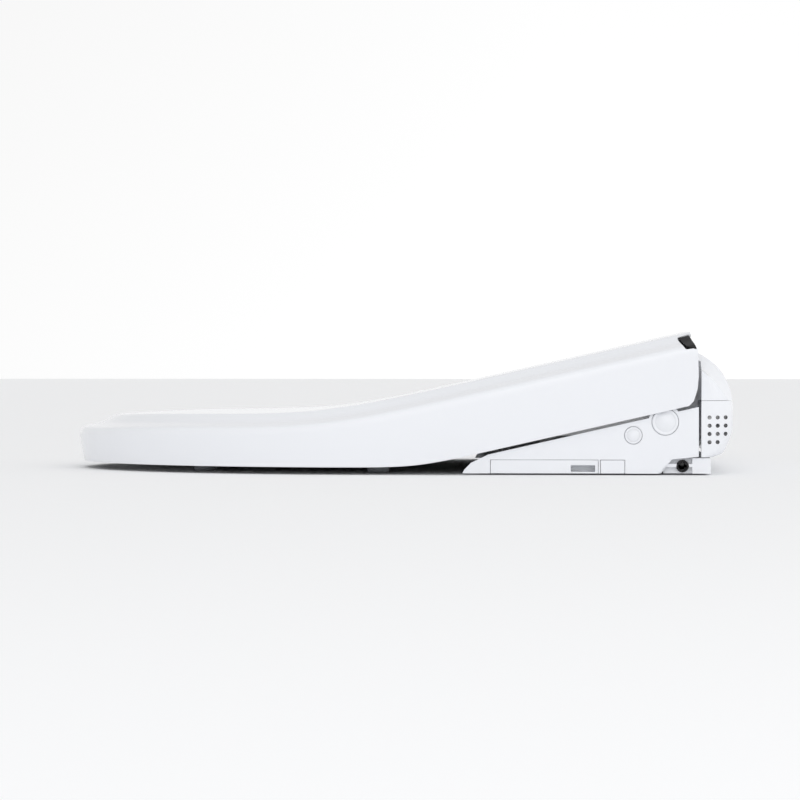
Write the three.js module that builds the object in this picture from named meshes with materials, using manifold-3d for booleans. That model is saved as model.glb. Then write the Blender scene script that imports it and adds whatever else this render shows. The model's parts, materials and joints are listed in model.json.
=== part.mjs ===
// Electric bidet seat for an elongated bowl: a washing and drying unit at the back, a heated seat ring
// and a wrap-over lid that share one hinge line.
// Millimetres.  +X is the seated user's left, +Y points back to the tank, +Z is up, and z = 0 is the
// rim of the bowl.

import * as THREE from 'three';
import { mergeVertices } from 'three/addons/utils/BufferGeometryUtils.js';
import Module from 'manifold-3d';

const wasm = await Module();
wasm.setup();

// ---------------------------------------------------------------- driving dimensions

const LENGTH = 530;                      // nose of the lid to the back of the unit
const WIDTH = 382;                       // over the side walls of the lid
const GAP = 0.3;                         // between pieces that rest on or in each other
const SWING_GAP = 1.2;                   // between a swinging piece and what it passes
const WALL = 3;                          // moulded shells

const hinge = { back: 52.7, z: 40.6, pinRadius: 5, pinGap: 0.3, bossRadius: 9.5 };
const lid = {
  step: 5,                               // side wall of the lid to the side of the unit
  low: 5.5, lowSlope: 0.2275, lowBend: 190.1, lowBlend: 12,
  panel: 45.5, panelSlope: 0.2265, panelBend: 263.1, panelBlend: 25,
  noseDrop: 2.4, noseDropStart: 124, noseDropLength: 93,
  noseDraft: 3.5, sideDraft: 0.8, sideBand: 26, noseBand: 31, bandHeight: 10.6,
  roundStart: 250,                       // length of the rounded front
  backTop: 19.7, backSide: 25.2,         // ends of the top and of the side walls behind the hinge
  lugInner: 36, lugWidth: 11, lugAngle: 157, lugHalf: 5, lugReach: 100, openAngle: 100,
};
const seat = {
  noseGap: 22, sideGap: 12, low: 2.8, rise: 0.14, topBelowPanel: 7.5, backEdge: 106.3,
  shoulder: 12, openingHalf: 102, openingFront: 72, openingBack: 40,
  armInner: 21, armWidth: 14.5, armHalf: 8, plate: 3, skin: 3.4, heater: 1.4,
};
const unit = {
  front: 96.3,                           // front wall ahead of the hinge
  nose: 155, humpRadius: 58.8, backRadius: 52.7, floor: 6, floorThickness: 2.5, split: 57, frontSplit: 30,
  sideSkin: 2.5, chassisWall: 2.4, bay: 40, bracket: 3, coverGap: 2.5, cornerX: 21, cornerY: 26,
  backJoint: 27.5,                       // joint of the side and rear covers behind the hinge
  baseBack: 34.7, baseTop: 12.9, seam: 2,
};
const nozzle = { slope: 22, radius: 7.5, mouthZ: 19, length: 133, tip: 14, play: 0.9, guideWall: 4,
  guideStart: 18, hoseAt: 100 };
const rack = { module: 1.5, teeth: 10, clearance: 0.3, backlash: 1, width: 5, web: 0.9, start: 16,
  flank: 20, pinionAt: 16 };
const tank = { x: 78, y: 68, z: 43, corner: 8 };
const fan = { radius: 30, height: 34, wheel: 23, eye: 18, blades: 9, fromSide: 48, fromFront: 46, hub: 10.5,
  skin: 2.2, ductHeight: 16, blade: 1.2, bladeHeight: 16, above: 3.5 };
const flap = { width: 34, height: 14, thickness: 2, play: 0.8, pin: 1, low: 12, pinEnd: 2.4 };
const filter = { front: 133.4, length: 82.2, height: 11.3, depth: 36, wall: 3, notch: 20.8, notchHeight: 6.3,
  notchDepth: 12, lip: 15, notchWall: 2.4 };
const button = { front: 49.3, length: 18.4, depth: 24, room: 4 };
const plate = { width: 150, length: 118, thickness: 4, back: 14, slotLength: 44, slotWidth: 11, slots: 54 };
const foot = { radius: 11, armRadius: 4, seatRadius: 9, besidePlate: 40.3, ahead: 8, behind: 8 };
const vent = { radius: 1.6, pitch: 6.3, rows: 4, columns: 3, behind: 6.2, above: 3.4 };
const cap = { radius: 10.2, rim: 2.6, proud: 0.4 };
const plug = { radius: 6.7, ahead: 24.3, below: 10.3, proud: 0.3 };
const damper = { radius: 11, length: 40 };
const pin = { inside: 10 };              // end of a hinge pin inside the middle part of the unit
const inlet = { radius: 7.5, bore: 5, behind: 14, z: 11, flange: 2, boreEnd: 12, inside: 3.5 };
const gland = { radius: 4.6, bore: 3.2, behind: 13.4, z: 6.6, length: 11.5 };
const pipe = { radius: 4, hose: 3, bend: 6 };
const bezel = { half: 27, low: 9.2, high: 36, thickness: 2.6, screws: 22, screwZ: 27.5 };
const screw = { head: 2.8, shank: 1.3, hole: 1.6, headHeight: 1.4 };
const motor = { radius: 10, length: 16, shaft: 2.1, bore: 2.4, above: 2 };
const pump = { radius: 13, length: 38, fromValve: 12, z: 15 };
const valve = { inset: 4, width: 36, fromTank: 6, behind: 20, top: 28, solenoid: 7 };
const board = { left: 42, inset: 8, front: 20, back: 70, thickness: 1.6, above: 4, parts: 4 };
const bumper = { radius: 6, ahead: 62, aside: 62, rib: 1.4 };

const ROUND = 28;                        // sides of a full circle
const SMALL_ROUND = 16;

// ---------------------------------------------------------------- places worked out from them

const noseY = -LENGTH / 2;
const backY = LENGTH / 2;
const lidHalf = WIDTH / 2;
const bodyHalf = lidHalf - lid.step;                       // side covers of the unit
const axisY = backY - hinge.back;
const axisZ = hinge.z;
const coverInner = bodyHalf - unit.sideSkin;
const chassisHalf = coverInner - GAP;
const chassisInner = chassisHalf - unit.chassisWall;
const caseHalf = bodyHalf - unit.bay;                      // middle part of the unit, between the bays
const frontY = axisY - unit.front;
const floorTop = unit.floor + unit.floorThickness;
const coverBackY = axisY + unit.backJoint - unit.seam;     // back end of a side cover
const rearFrontY = axisY + unit.backJoint;                 // front edge of the rear cover
const radians = THREE.MathUtils.degToRad;
const lerp = THREE.MathUtils.lerp;

// A level line that bends smoothly into a slope.
function bend(y, level, slope, start, blend) {
  return level + slope * blend * Math.log1p(Math.exp((y - start) / blend));
}

// Lower edge of the lid's side wall.
function lidLow(y) {
  return bend(y, lid.low, lid.lowSlope, axisY - lid.lowBend, lid.lowBlend);
}

// Top of the lid: nearly level in front, sloping up to the back, and dropping a little at the nose.
function panelZ(y) {
  const start = noseY + lid.noseDropStart;
  const nearNose = Math.max(0, start - Math.max(y, noseY + lid.noseBand)) / lid.noseDropLength;
  return bend(y, lid.panel, lid.panelSlope, axisY - lid.panelBend, lid.panelBlend)
    - lid.noseDrop * nearNose ** 2;
}

function seatLow(y) {
  return lidLow(y) + seat.low;
}

function seatTop(y) {
  return bend(y, lid.panel - seat.topBelowPanel, seat.rise, axisY - lid.panelBend, lid.panelBlend);
}

// Radius of the back of the unit about the hinge line, at an angle in degrees above the level.
function backRadius(angle) {
  const t = THREE.MathUtils.smoothstep(angle, 0, 50);
  return lerp(unit.backRadius, unit.humpRadius, t);
}

function aroundHinge(radius, angle) {
  return [axisY + radius * Math.cos(radians(angle)), axisZ + radius * Math.sin(radians(angle))];
}

// ---------------------------------------------------------------- solids

// A solid that can be cut and joined, from any closed three.js geometry.
function solid(geometry) {
  const bare = geometry.index ? geometry.clone() : geometry;
  bare.deleteAttribute('normal');
  bare.deleteAttribute('uv');
  const merged = mergeVertices(bare, 1e-4);
  return new wasm.Manifold(new wasm.Mesh({
    numProp: 3,
    vertProperties: new Float32Array(merged.attributes.position.array),
    triVerts: new Uint32Array(merged.index.array),
  }));
}

function toGeometry(body) {
  const mesh = body.getMesh();
  const geometry = new THREE.BufferGeometry();
  geometry.setAttribute('position', new THREE.BufferAttribute(new Float32Array(mesh.vertProperties), 3));
  geometry.setIndex(new THREE.BufferAttribute(new Uint32Array(mesh.triVerts), 1));
  return geometry;
}

function toShape(points) {
  return new THREE.Shape(points.map(([u, v]) => new THREE.Vector2(u, v)));
}

// A side outline of [y, z] points, from one x to another.
function slabX(points, x0, x1) {
  const depth = Math.abs(x1 - x0);
  const geometry = new THREE.ExtrudeGeometry(toShape(points), { depth, bevelEnabled: false });
  geometry.applyMatrix4(new THREE.Matrix4().makeBasis(
    new THREE.Vector3(0, 1, 0), new THREE.Vector3(0, 0, 1), new THREE.Vector3(1, 0, 0)));
  geometry.translate(Math.min(x0, x1), 0, 0);
  return solid(geometry);
}

// A plan outline of [x, y] points, from one z to another.
function slabZ(points, z0, z1) {
  const geometry = new THREE.ExtrudeGeometry(toShape(points), { depth: z1 - z0, bevelEnabled: false });
  geometry.translate(0, 0, z0);
  return solid(geometry);
}

function box(x0, x1, y0, y1, z0, z1) {
  const geometry = new THREE.BoxGeometry(Math.abs(x1 - x0), y1 - y0, z1 - z0);
  geometry.translate((x0 + x1) / 2, (y0 + y1) / 2, (z0 + z1) / 2);
  return solid(geometry);
}

function rodX(radius, x0, x1, y, z, sides = ROUND) {
  const geometry = new THREE.CylinderGeometry(radius, radius, Math.abs(x1 - x0), sides);
  geometry.rotateZ(Math.PI / 2);
  geometry.translate((x0 + x1) / 2, y, z);
  return solid(geometry);
}

function rodZ(radius, x, y, z0, z1, sides = ROUND, topRadius = radius) {
  const geometry = new THREE.CylinderGeometry(topRadius, radius, z1 - z0, sides);
  geometry.rotateX(Math.PI / 2);
  geometry.translate(x, y, (z0 + z1) / 2);
  return solid(geometry);
}

// A closed ring of points as an arc about the hinge line.
function hingeArc(radius, from, to, steps) {
  return Array.from({ length: steps + 1 }, (_, i) => aroundHinge(radius, lerp(from, to, i / steps)));
}

// Right-hand half of a plan outline with straight sides and a rounded front, from the back to the nose.
function halfOutline(half, nose, back, start, straight, round) {
  const points = [];
  for (let i = 0; i < straight; i++) points.push([half, lerp(back, start, i / straight)]);
  for (let i = 0; i < round; i++) {
    const angle = (i / round) * (Math.PI / 2);
    points.push([half * Math.cos(angle), start - (start - nose) * Math.sin(angle)]);
  }
  points.push([0, nose]);
  return points;
}

// A closed body through rings of right-hand points, from the lowest ring to the highest.  The left-hand
// points are mirror images, and the ends are closed straight across.
function loft(rings) {
  const last = rings[0].length - 1;
  const perRing = 2 * last + 1;
  const positions = [];
  for (const ring of rings) {
    for (const point of ring) positions.push(...point);
    for (const [x, y, z] of ring.slice(0, last)) positions.push(-x, y, z);
  }
  const right = (ring, i) => ring * perRing + i;
  const left = (ring, i) => (i === last ? right(ring, i) : ring * perRing + last + 1 + i);
  const around = (ring, j) => (j % perRing <= last ? right(ring, j % perRing)
    : left(ring, 2 * last - (j % perRing)));
  const index = [];
  for (let ring = 0; ring < rings.length - 1; ring++) {
    for (let j = 0; j < perRing; j++) {
      const [a, b] = [around(ring, j), around(ring, j + 1)];
      const [c, d] = [around(ring + 1, j + 1), around(ring + 1, j)];
      index.push(a, d, c, a, c, b);
    }
  }
  const top = rings.length - 1;
  for (let i = 0; i < last; i++) {
    index.push(right(0, i), right(0, i + 1), left(0, i));
    index.push(right(top, i), left(top, i), right(top, i + 1));
    if (i === last - 1) continue;
    index.push(right(0, i + 1), left(0, i + 1), left(0, i));
    index.push(right(top, i + 1), left(top, i), left(top, i + 1));
  }
  const geometry = new THREE.BufferGeometry();
  geometry.setAttribute('position', new THREE.BufferAttribute(new Float32Array(positions), 3));
  geometry.setIndex(index);
  return solid(geometry);
}

// A bent tube through points, from one end to the other.
function tube(points, radius, steps) {
  const path = new THREE.CatmullRomCurve3(points.map(([x, y, z]) => new THREE.Vector3(x, y, z)));
  const section = new THREE.Shape();
  section.absarc(0, 0, radius, 0, 2 * Math.PI);
  return solid(new THREE.ExtrudeGeometry(section, {
    steps, curveSegments: 8, bevelEnabled: false, extrudePath: path,
  }));
}

// ---------------------------------------------------------------- finishes

const white = { color: 0xf3f5fa, roughness: 0.22, metalness: 0 };
const paleGrey = { color: 0xc9ccd2, roughness: 0.4, metalness: 0 };
const black = { color: 0x17181a, roughness: 0.6, metalness: 0 };
const rubber = { color: 0xb9bcc2, roughness: 0.8, metalness: 0 };
const steel = { color: 0xc4c6c8, roughness: 0.28, metalness: 1 };
const acetal = { color: 0xe6e3d8, roughness: 0.45, metalness: 0 };
const greenBoard = { color: 0x2f6b46, roughness: 0.5, metalness: 0 };
const foil = { color: 0xc98a4b, roughness: 0.35, metalness: 1 };
const hose = { color: 0xdfe6ea, roughness: 0.35, metalness: 0 };

const model = new THREE.Group();

function place(name, body, finish, parent = model) {
  const mesh = new THREE.Mesh(toGeometry(body), new THREE.MeshStandardMaterial(finish));
  mesh.name = name;
  parent.add(mesh);
}

// ---------------------------------------------------------------- lid

// Rings of the lid: inset from the widest outline at the side and at the nose, and depth below the top.
// The lowest ring follows the lower edge instead.
const lidBand = [
  { side: 0, nose: 0, drop: 1 },
  { side: 3, nose: 6.3, drop: 0.87 },
  { side: 15.6, nose: 18.6, drop: 0.61 },
  { side: 23.6, nose: 28.2, drop: 0.095 },
  { side: lid.sideBand, nose: lid.noseBand, drop: 0 },
];

function lidBody(inset, sink, back, lowRing) {
  const start = noseY + lid.roundStart;
  const outline = (side, nose) => halfOutline(lidHalf - side - inset, noseY + nose + inset, back, start,
    8, 14);
  const low = outline(lid.sideDraft, lid.noseDraft).map(([x, y]) => [x, y, lowRing(y)]);
  const band = lidBand.map(({ side, nose, drop }) => outline(side, nose)
    .map(([x, y]) => [x, y, panelZ(y) - drop * lid.bandHeight - sink]));
  return loft([low, ...band]);
}

function lidLug(side) {
  const inner = side * (bodyHalf - lid.lugInner);
  const outer = inner + side * lid.lugWidth;
  const tip = aroundHinge(lid.lugReach, lid.lugAngle - 3);
  const arm = [aroundHinge(lid.lugHalf, lid.lugAngle + 90), aroundHinge(lid.lugHalf, lid.lugAngle - 90),
    [tip[0] + 9, tip[1] + 8], [tip[0] - 9, tip[1] + 6], [tip[0] - 7, tip[1] - 3]];
  return slabX(arm, inner, outer).add(rodX(hinge.bossRadius, inner, outer, axisY, axisZ));
}

const humpTop = (y) => axisZ + Math.sqrt(unit.humpRadius ** 2 - (y - axisY) ** 2);

// Black strip that closes the slot between the back of the lid and the top of the unit.
const lipUnder = (y) => panelZ(y) - 2.6;
const stripOutline = [
  [axisY + 10, lipUnder(axisY + 10)],
  [axisY + 18.8, lipUnder(axisY + 18.8)],
  [axisY + 24.4, humpTop(axisY + 24.4) + SWING_GAP],
  [axisY + 16.3, humpTop(axisY + 16.3) + SWING_GAP],
];
// The room that the lid's side walls leave for the strip: its own outline with a gap all round.
const stripSeat = stripOutline.map(([y, z]) => {
  const middle = stripOutline.reduce(([a, b], [c, d]) => [a + c / 4, b + d / 4], [0, 0]);
  const [dy, dz] = [y - middle[0], z - middle[1]];
  const grow = 1 + (2 * GAP) / Math.hypot(dy, dz) * 1.5;
  return [middle[0] + dy * grow, middle[1] + dz * grow];
});

const lidOuter = lidBody(0, 0, axisY + lid.backSide, lidLow);
const behindSideWall = [
  [axisY + 16.7, 0], [axisY + 16.7, lidLow(axisY + 16.7)], [axisY + 21.4, axisZ + 15.8],
  [axisY + 24.4, axisZ + 25], [axisY + lid.backSide, axisZ + 34.4], [axisY + 60, axisZ + 34.4],
  [axisY + 60, 0],
];
const behindTop = [
  [axisY + lid.backTop, panelZ(axisY + lid.backTop) + 10], [axisY + lid.backTop, lipUnder(axisY + 19)],
  [axisY + lid.backSide - 0.6, axisZ + 56], [axisY + 60, axisZ + 56],
  [axisY + 60, panelZ(axisY + lid.backTop) + 10],
];
{
  const across = lidHalf + 5;
  const cavity = lidBody(WALL, WALL, axisY + lid.backSide + 40, () => -40);
  let shell = lidOuter.subtract(cavity)
    .subtract(slabX(behindSideWall, -across, across))
    .subtract(slabX(behindTop, -across, across))
    .subtract(slabX(stripSeat, -across, across));
  for (const side of [1, -1]) {
    shell = shell.add(lidLug(side).intersect(lidOuter.add(box(
      side * (bodyHalf - lid.lugInner), side * (bodyHalf - lid.lugInner + lid.lugWidth),
      axisY - 60, axisY + hinge.bossRadius, axisZ - hinge.bossRadius, axisZ + 40))));
    shell = shell.subtract(rodX(hinge.pinRadius + hinge.pinGap, side * (caseHalf + 2),
      side * (chassisInner - 2), axisY, axisZ));
  }
  place('lid_shell', shell, white);
  place('lid_rear_strip', slabX(stripOutline, -across, across).intersect(lidOuter), black);
}

const lidBumperY = noseY + bumper.ahead;
for (const [name, side] of [['left', 1], ['right', -1]]) {
  const top = panelZ(lidBumperY) - WALL - GAP - bumper.rib;
  place(`lid_bumper_${name}`, rodZ(bumper.radius, side * bumper.aside, lidBumperY,
    seatTop(lidBumperY) + GAP, top, 14), rubber);
}

// ---------------------------------------------------------------- seat

const seatHalf = lidHalf - seat.sideGap;
const seatNose = noseY + seat.noseGap;
const seatBack = axisY - seat.backEdge;
const seatStart = noseY + lid.roundStart;
const openingFront = seatNose + seat.openingFront;
const openingBack = seatBack - seat.openingBack;

// Plan outline of the opening in the seat: two half ellipses, the front one longer.
function openingOutline(grow, steps = 40) {
  const middle = lerp(openingFront, openingBack, 0.55);
  return Array.from({ length: steps }, (_, i) => {
    const angle = (i / steps) * 2 * Math.PI;
    const reach = Math.sin(angle) < 0 ? middle - openingFront : openingBack - middle;
    return [(seat.openingHalf + grow) * Math.cos(angle), middle + (reach + grow) * Math.sin(angle)];
  });
}

// A ring-shaped slice of the seat between two heights, inset from its outer edge and its opening.
function seatSlice(inset, grow, low, high, shoulder = 0) {
  const outline = (more) => halfOutline(seatHalf - inset - more, seatNose + inset + more,
    seatBack - inset - more * 0.5, seatStart, 6, 12);
  const at = (points, height) => points.map(([x, y]) => [x, y, height(y)]);
  const rings = [at(outline(shoulder ? 1.5 : 0), low)];
  if (shoulder) {
    rings.push(at(outline(0), (y) => high(y) - shoulder));
    rings.push(at(outline(shoulder * 0.3), (y) => high(y) - shoulder * 0.35));
    rings.push(at(outline(shoulder * 0.9), high));
  } else rings.push(at(outline(0), high));
  return loft(rings).subtract(slabZ(openingOutline(grow), -60, 160));
}

function seatArm(side) {
  const inner = side * (bodyHalf - seat.armInner);
  const outer = inner + side * seat.armWidth;
  const y = seatBack - 14;
  const low = seatLow(y);
  const arm = [[y, low + seat.plate * 0.5], [seatBack + 3, seatLow(seatBack) + 1.5],
    aroundHinge(seat.armHalf, 268), aroundHinge(seat.armHalf, 92), [seatBack + 2, low + 22],
    [seatBack - 5, low + 20], [seatBack - 5, low + seat.plate + 6], [y, low + seat.plate * 0.9]];
  return slabX(arm, inner, outer).add(rodX(hinge.bossRadius, inner, outer, axisY, axisZ));
}

{
  const inside = WALL + GAP;
  const skin = (y) => seatTop(y) - seat.skin;
  const cavity = seatSlice(WALL, WALL, (y) => seatLow(y) - 30, skin, seat.shoulder);
  let shell = seatSlice(0, 0, seatLow, seatTop, seat.shoulder).subtract(cavity);
  let base = seatSlice(inside + 1.5, inside, seatLow, (y) => seatLow(y) + seat.plate);
  for (const side of [1, -1]) {
    const inner = side * (bodyHalf - seat.armInner - GAP * 2);
    const outer = side * (bodyHalf - seat.armInner + seat.armWidth + GAP * 2);
    shell = shell.subtract(box(inner, outer, seatBack - 15, seatBack + 5, 0, seatLow(seatBack) + 26));
    base = base.add(seatArm(side)).subtract(rodX(hinge.pinRadius + hinge.pinGap, side * (caseHalf + 2),
      side * (chassisInner - 0.1), axisY, axisZ));
  }
  place('seat_top_shell', shell, white);
  place('seat_bottom_shell', base, white);
  const under = (y) => skin(y) - GAP;
  place('seat_heater', seatSlice(20, 14, (y) => under(y) - seat.heater, under), foil);
}

const seatFeet = [
  ['front_left', 0.59, noseY + 115], ['front_right', -0.59, noseY + 115],
  ['rear_left', 0.77, noseY + 255], ['rear_right', -0.77, noseY + 255],
];
for (const [name, across, y] of seatFeet) {
  place(`seat_bumper_${name}`, rodZ(foot.seatRadius, across * seatHalf, y, 0, seatLow(y) - GAP - 0.2, 18),
    rubber);
}

// ---------------------------------------------------------------- nozzle frame and mouth

// The nozzle slides along its own y axis, which starts at the mouth and climbs to the back.
const nozzleFrame = new THREE.Group();
nozzleFrame.position.set(0, frontY, nozzle.mouthZ);
nozzleFrame.rotation.x = radians(nozzle.slope);
nozzleFrame.updateMatrix();
model.add(nozzleFrame);

const rackRoot = nozzle.radius + rack.web;
const pitchLine = rackRoot + rack.module + rack.clearance;
const rackTip = pitchLine + rack.module;
const pinionRadius = (rack.module * rack.teeth) / 2;
const tall = (z) => [rack.width / 2 + z, -rack.width / 2 - z];

function rodY(radius, x, z, y0, y1, sides = ROUND, backRadius = radius) {
  const geometry = new THREE.CylinderGeometry(backRadius, radius, y1 - y0, sides);
  geometry.translate(x, (y0 + y1) / 2, z);
  return solid(geometry);
}

// Room for the nozzle and its rack, as cut through the front of the unit.
const nozzleMouth = solid(toGeometry(rodY(nozzle.radius + nozzle.play, 0, 0, -30, 24, 24)
  .add(box(0, rackTip + nozzle.play, -30, 24, tall(nozzle.play)[1], tall(nozzle.play)[0])))
  .applyMatrix4(nozzleFrame.matrix));

// ---------------------------------------------------------------- casing of the unit

// Back of the unit in side view, from an angle above the hinge down to the joint with the base.
function backOutline(from, inset = 0) {
  const points = [];
  for (let angle = from; angle > -4; angle -= 7) {
    points.push(aroundHinge(backRadius(angle) - inset, angle));
  }
  points.push([axisY + 51.6 - inset, axisZ - 8.7], [axisY + 48.2 - inset, axisZ - 17.7 + inset * 0.3],
    [axisY + 44.7 - inset, axisZ - 24 + inset * 0.7], [axisY + 38 - inset * 0.5, axisZ - 27 + inset]);
  return points;
}

// Plan of the unit behind the side covers, with elliptical corners.
function rearPlan(inset, front) {
  const half = bodyHalf - inset;
  const corner = (side) => Array.from({ length: 9 }, (_, i) => {
    const angle = (i / 8) * (Math.PI / 2);
    return [side * (half - unit.cornerX * (1 - Math.cos(angle))),
      backY - unit.cornerY - inset + unit.cornerY * Math.sin(angle)];
  });
  return [[half, front], ...corner(1), ...corner(-1).reverse(), [-half, front]];
}

// The ends of the hump fall away under the sloping band of the lid.
function humpEnds(inset) {
  const profile = [[0, -bodyHalf - 9], [48 - inset, -bodyHalf - 9], [48 - inset, -bodyHalf + 0.5],
    [51.5 - inset, -bodyHalf + 11], [56 - inset, -bodyHalf + 18], [unit.humpRadius - inset, -bodyHalf + 24]];
  const mirrored = profile.map(([r, x]) => [r, -x]).reverse();
  const geometry = new THREE.LatheGeometry(
    [...profile, ...mirrored].map(([r, x]) => new THREE.Vector2(r, x)), 60);
  geometry.rotateZ(-Math.PI / 2);
  geometry.translate(0, axisY, axisZ);
  return solid(geometry);
}

const rearOuter = slabZ(rearPlan(0, axisY - 10), -5, 140);
const rearInner = slabZ(rearPlan(WALL, axisY - 60), -5, 140);

// Upper case: a hollow middle with a sloping top, and a wing on each side that closes the back of the
// bay in which the seat arm and the lid lug swing.
{
  const top = (y) => panelZ(y) - WALL - 4.5;
  const outline = (inset) => [
    [frontY + inset, unit.frontSplit], [frontY + 3 + inset, axisZ + 10],
    [frontY + 9 + inset, axisZ + 28], [frontY + 20 + inset * 0.6, top(frontY + 20) - inset],
    [axisY - 27 - inset * 0.3, top(axisY - 27) - inset],
    ...hingeArc(unit.humpRadius - inset, 112, 66, 6),
    ...backOutline(60, inset).filter(([, z]) => z > unit.split),
    [axisY + 50.9 - inset, unit.split], [rearFrontY - 1, unit.split], [rearFrontY - 1, unit.frontSplit],
  ];
  const ends = humpEnds(0).add(box(-caseHalf, caseHalf, frontY - 5, axisY + 70, 0, 140));
  let shell = slabX(outline(0), -caseHalf, caseHalf);
  let hollow = slabX([...outline(WALL).slice(0, -3), [axisY + 48, unit.split - 20], [axisY + 48, -5],
    [frontY + WALL, -5]], -caseHalf + WALL, caseHalf - WALL);
  const wing = (inset) => [...hingeArc(unit.humpRadius - inset, 70, 66, 1),
    ...backOutline(60, inset).filter(([, z]) => z > unit.split), [axisY + 50.9 - inset, unit.split],
    [rearFrontY, unit.split], [rearFrontY, axisZ + 46], [axisY + 18.5, axisZ + 51]];
  const wingSolid = slabX(wing(0), -bodyHalf, bodyHalf).intersect(rearOuter).intersect(ends);
  const wingHollow = slabX([...wing(WALL).slice(0, -4), [axisY + 48, 0], [0, 0], [0, axisZ + 52]],
    -bodyHalf + WALL, bodyHalf - WALL).intersect(rearInner).intersect(humpEnds(WALL)
    .add(box(-caseHalf - 2, caseHalf + 2, frontY, axisY + 70, 0, 140)));
  shell = shell.add(wingSolid.subtract(wingHollow)
    .subtract(box(-caseHalf + 1, caseHalf - 1, 0, axisY + 90, 0, 140))).subtract(hollow);
  for (const side of [1, -1]) {
    const lugInner = side * (bodyHalf - lid.lugInner - SWING_GAP);
    const lugOuter = side * (bodyHalf - lid.lugInner + lid.lugWidth + SWING_GAP);
    const slotEnd = aroundHinge(unit.humpRadius, lid.lugAngle - lid.openAngle - 13);
    shell = shell.subtract(box(lugInner, lugOuter, axisY - 60, slotEnd[0] + SWING_GAP, slotEnd[1] - 3, 140))
      .subtract(rodX(hinge.pinRadius + hinge.pinGap, side * (caseHalf - 8), side * (caseHalf + 2),
        axisY, axisZ));
  }
  place('upper_case', shell, white);
}

// Rear cover: a shell with rounded corners and rows of vent holes on each corner.
{
  const outline = (inset) => [[rearFrontY, unit.split - GAP], [rearFrontY, axisZ - 27 + inset],
    ...backOutline(16, inset).reverse().slice(0, -1), [axisY + 51.4 - inset, unit.split - GAP]];
  let shell = slabX(outline(0), -bodyHalf, bodyHalf).intersect(rearOuter).subtract(
    slabX([[axisY - 60, 140], [axisY - 60, axisZ - 27 + WALL],
      ...backOutline(16, WALL).reverse().slice(0, -1), [axisY + 51.4 - WALL, 140]],
    -bodyHalf, bodyHalf).intersect(rearInner));
  for (let row = 0; row < vent.rows; row++) {
    const columns = row < vent.rows - 1 ? vent.columns : vent.columns - 1;
    for (let column = 0; column < columns; column++) {
      shell = shell.subtract(rodX(vent.radius, -bodyHalf - 5, bodyHalf + 5,
        rearFrontY + vent.behind + column * vent.pitch, axisZ + vent.above - row * vent.pitch, 8));
    }
  }
  place('rear_cover', shell, white);
}

// Side covers: thin skins over the sides of the chassis, following the lower edge of the lid.
const coverFrontY = axisY - unit.nose;
const coverTop = (y) => lidLow(y) - unit.coverGap;
const filterFrontY = axisY - filter.front;
const filterBackY = filterFrontY + filter.length;
const buttonFrontY = axisY - button.front;
const buttonBackY = buttonFrontY + button.length;
const recessY = axisY - 5.3;

function coverOutline() {
  const top = Array.from({ length: 9 }, (_, i) => lerp(coverFrontY + 20, coverBackY, i / 8));
  return [[coverFrontY, 1], [coverFrontY + 1.5, coverTop(coverFrontY) * 0.35],
    [coverFrontY + 6.5, coverTop(coverFrontY + 6.5) * 0.72], ...top.map((y) => [y, coverTop(y)]),
    [coverBackY, axisZ - 26.6], [recessY + 10.5, axisZ - 28.6], [recessY, 1]];
}

function sideCover(side) {
  const inner = side * coverInner;
  const outer = side * bodyHalf;
  let skin = slabX(coverOutline(), inner, outer)
    .add(rodX(cap.radius + cap.rim, inner, outer, axisY, axisZ))
    .subtract(rodX(cap.radius + GAP, side * (coverInner - 1), side * (bodyHalf + 1), axisY, axisZ))
    .subtract(rodX(plug.radius + GAP, side * (coverInner - 1), side * (bodyHalf + 1),
      axisY - plug.ahead, axisZ - plug.below));
  if (side > 0) {
    skin = skin.subtract(box(inner - 1, outer + 1, filterFrontY - GAP, filterBackY + GAP, -1,
      filter.height + GAP)).subtract(box(inner - 1, outer + 1, buttonFrontY - GAP, buttonBackY + GAP, -1,
      filter.height + GAP));
  } else {
    skin = skin.subtract(box(outer - 1, inner + 1, recessY - 12, coverBackY + 1, -1, axisZ - 17));
  }
  return skin;
}

for (const [name, side] of [['left', 1], ['right', -1]]) {
  place(`side_cover_${name}`, sideCover(side), white);
  place(`hinge_cap_${name}`, rodX(cap.radius, side * coverInner, side * (bodyHalf + cap.proud),
    axisY, axisZ), white);
  place(`side_plug_${name}`, rodX(plug.radius, side * coverInner, side * (bodyHalf + plug.proud),
    axisY - plug.ahead, axisZ - plug.below, 20), white);
}

// ---------------------------------------------------------------- chassis

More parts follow.
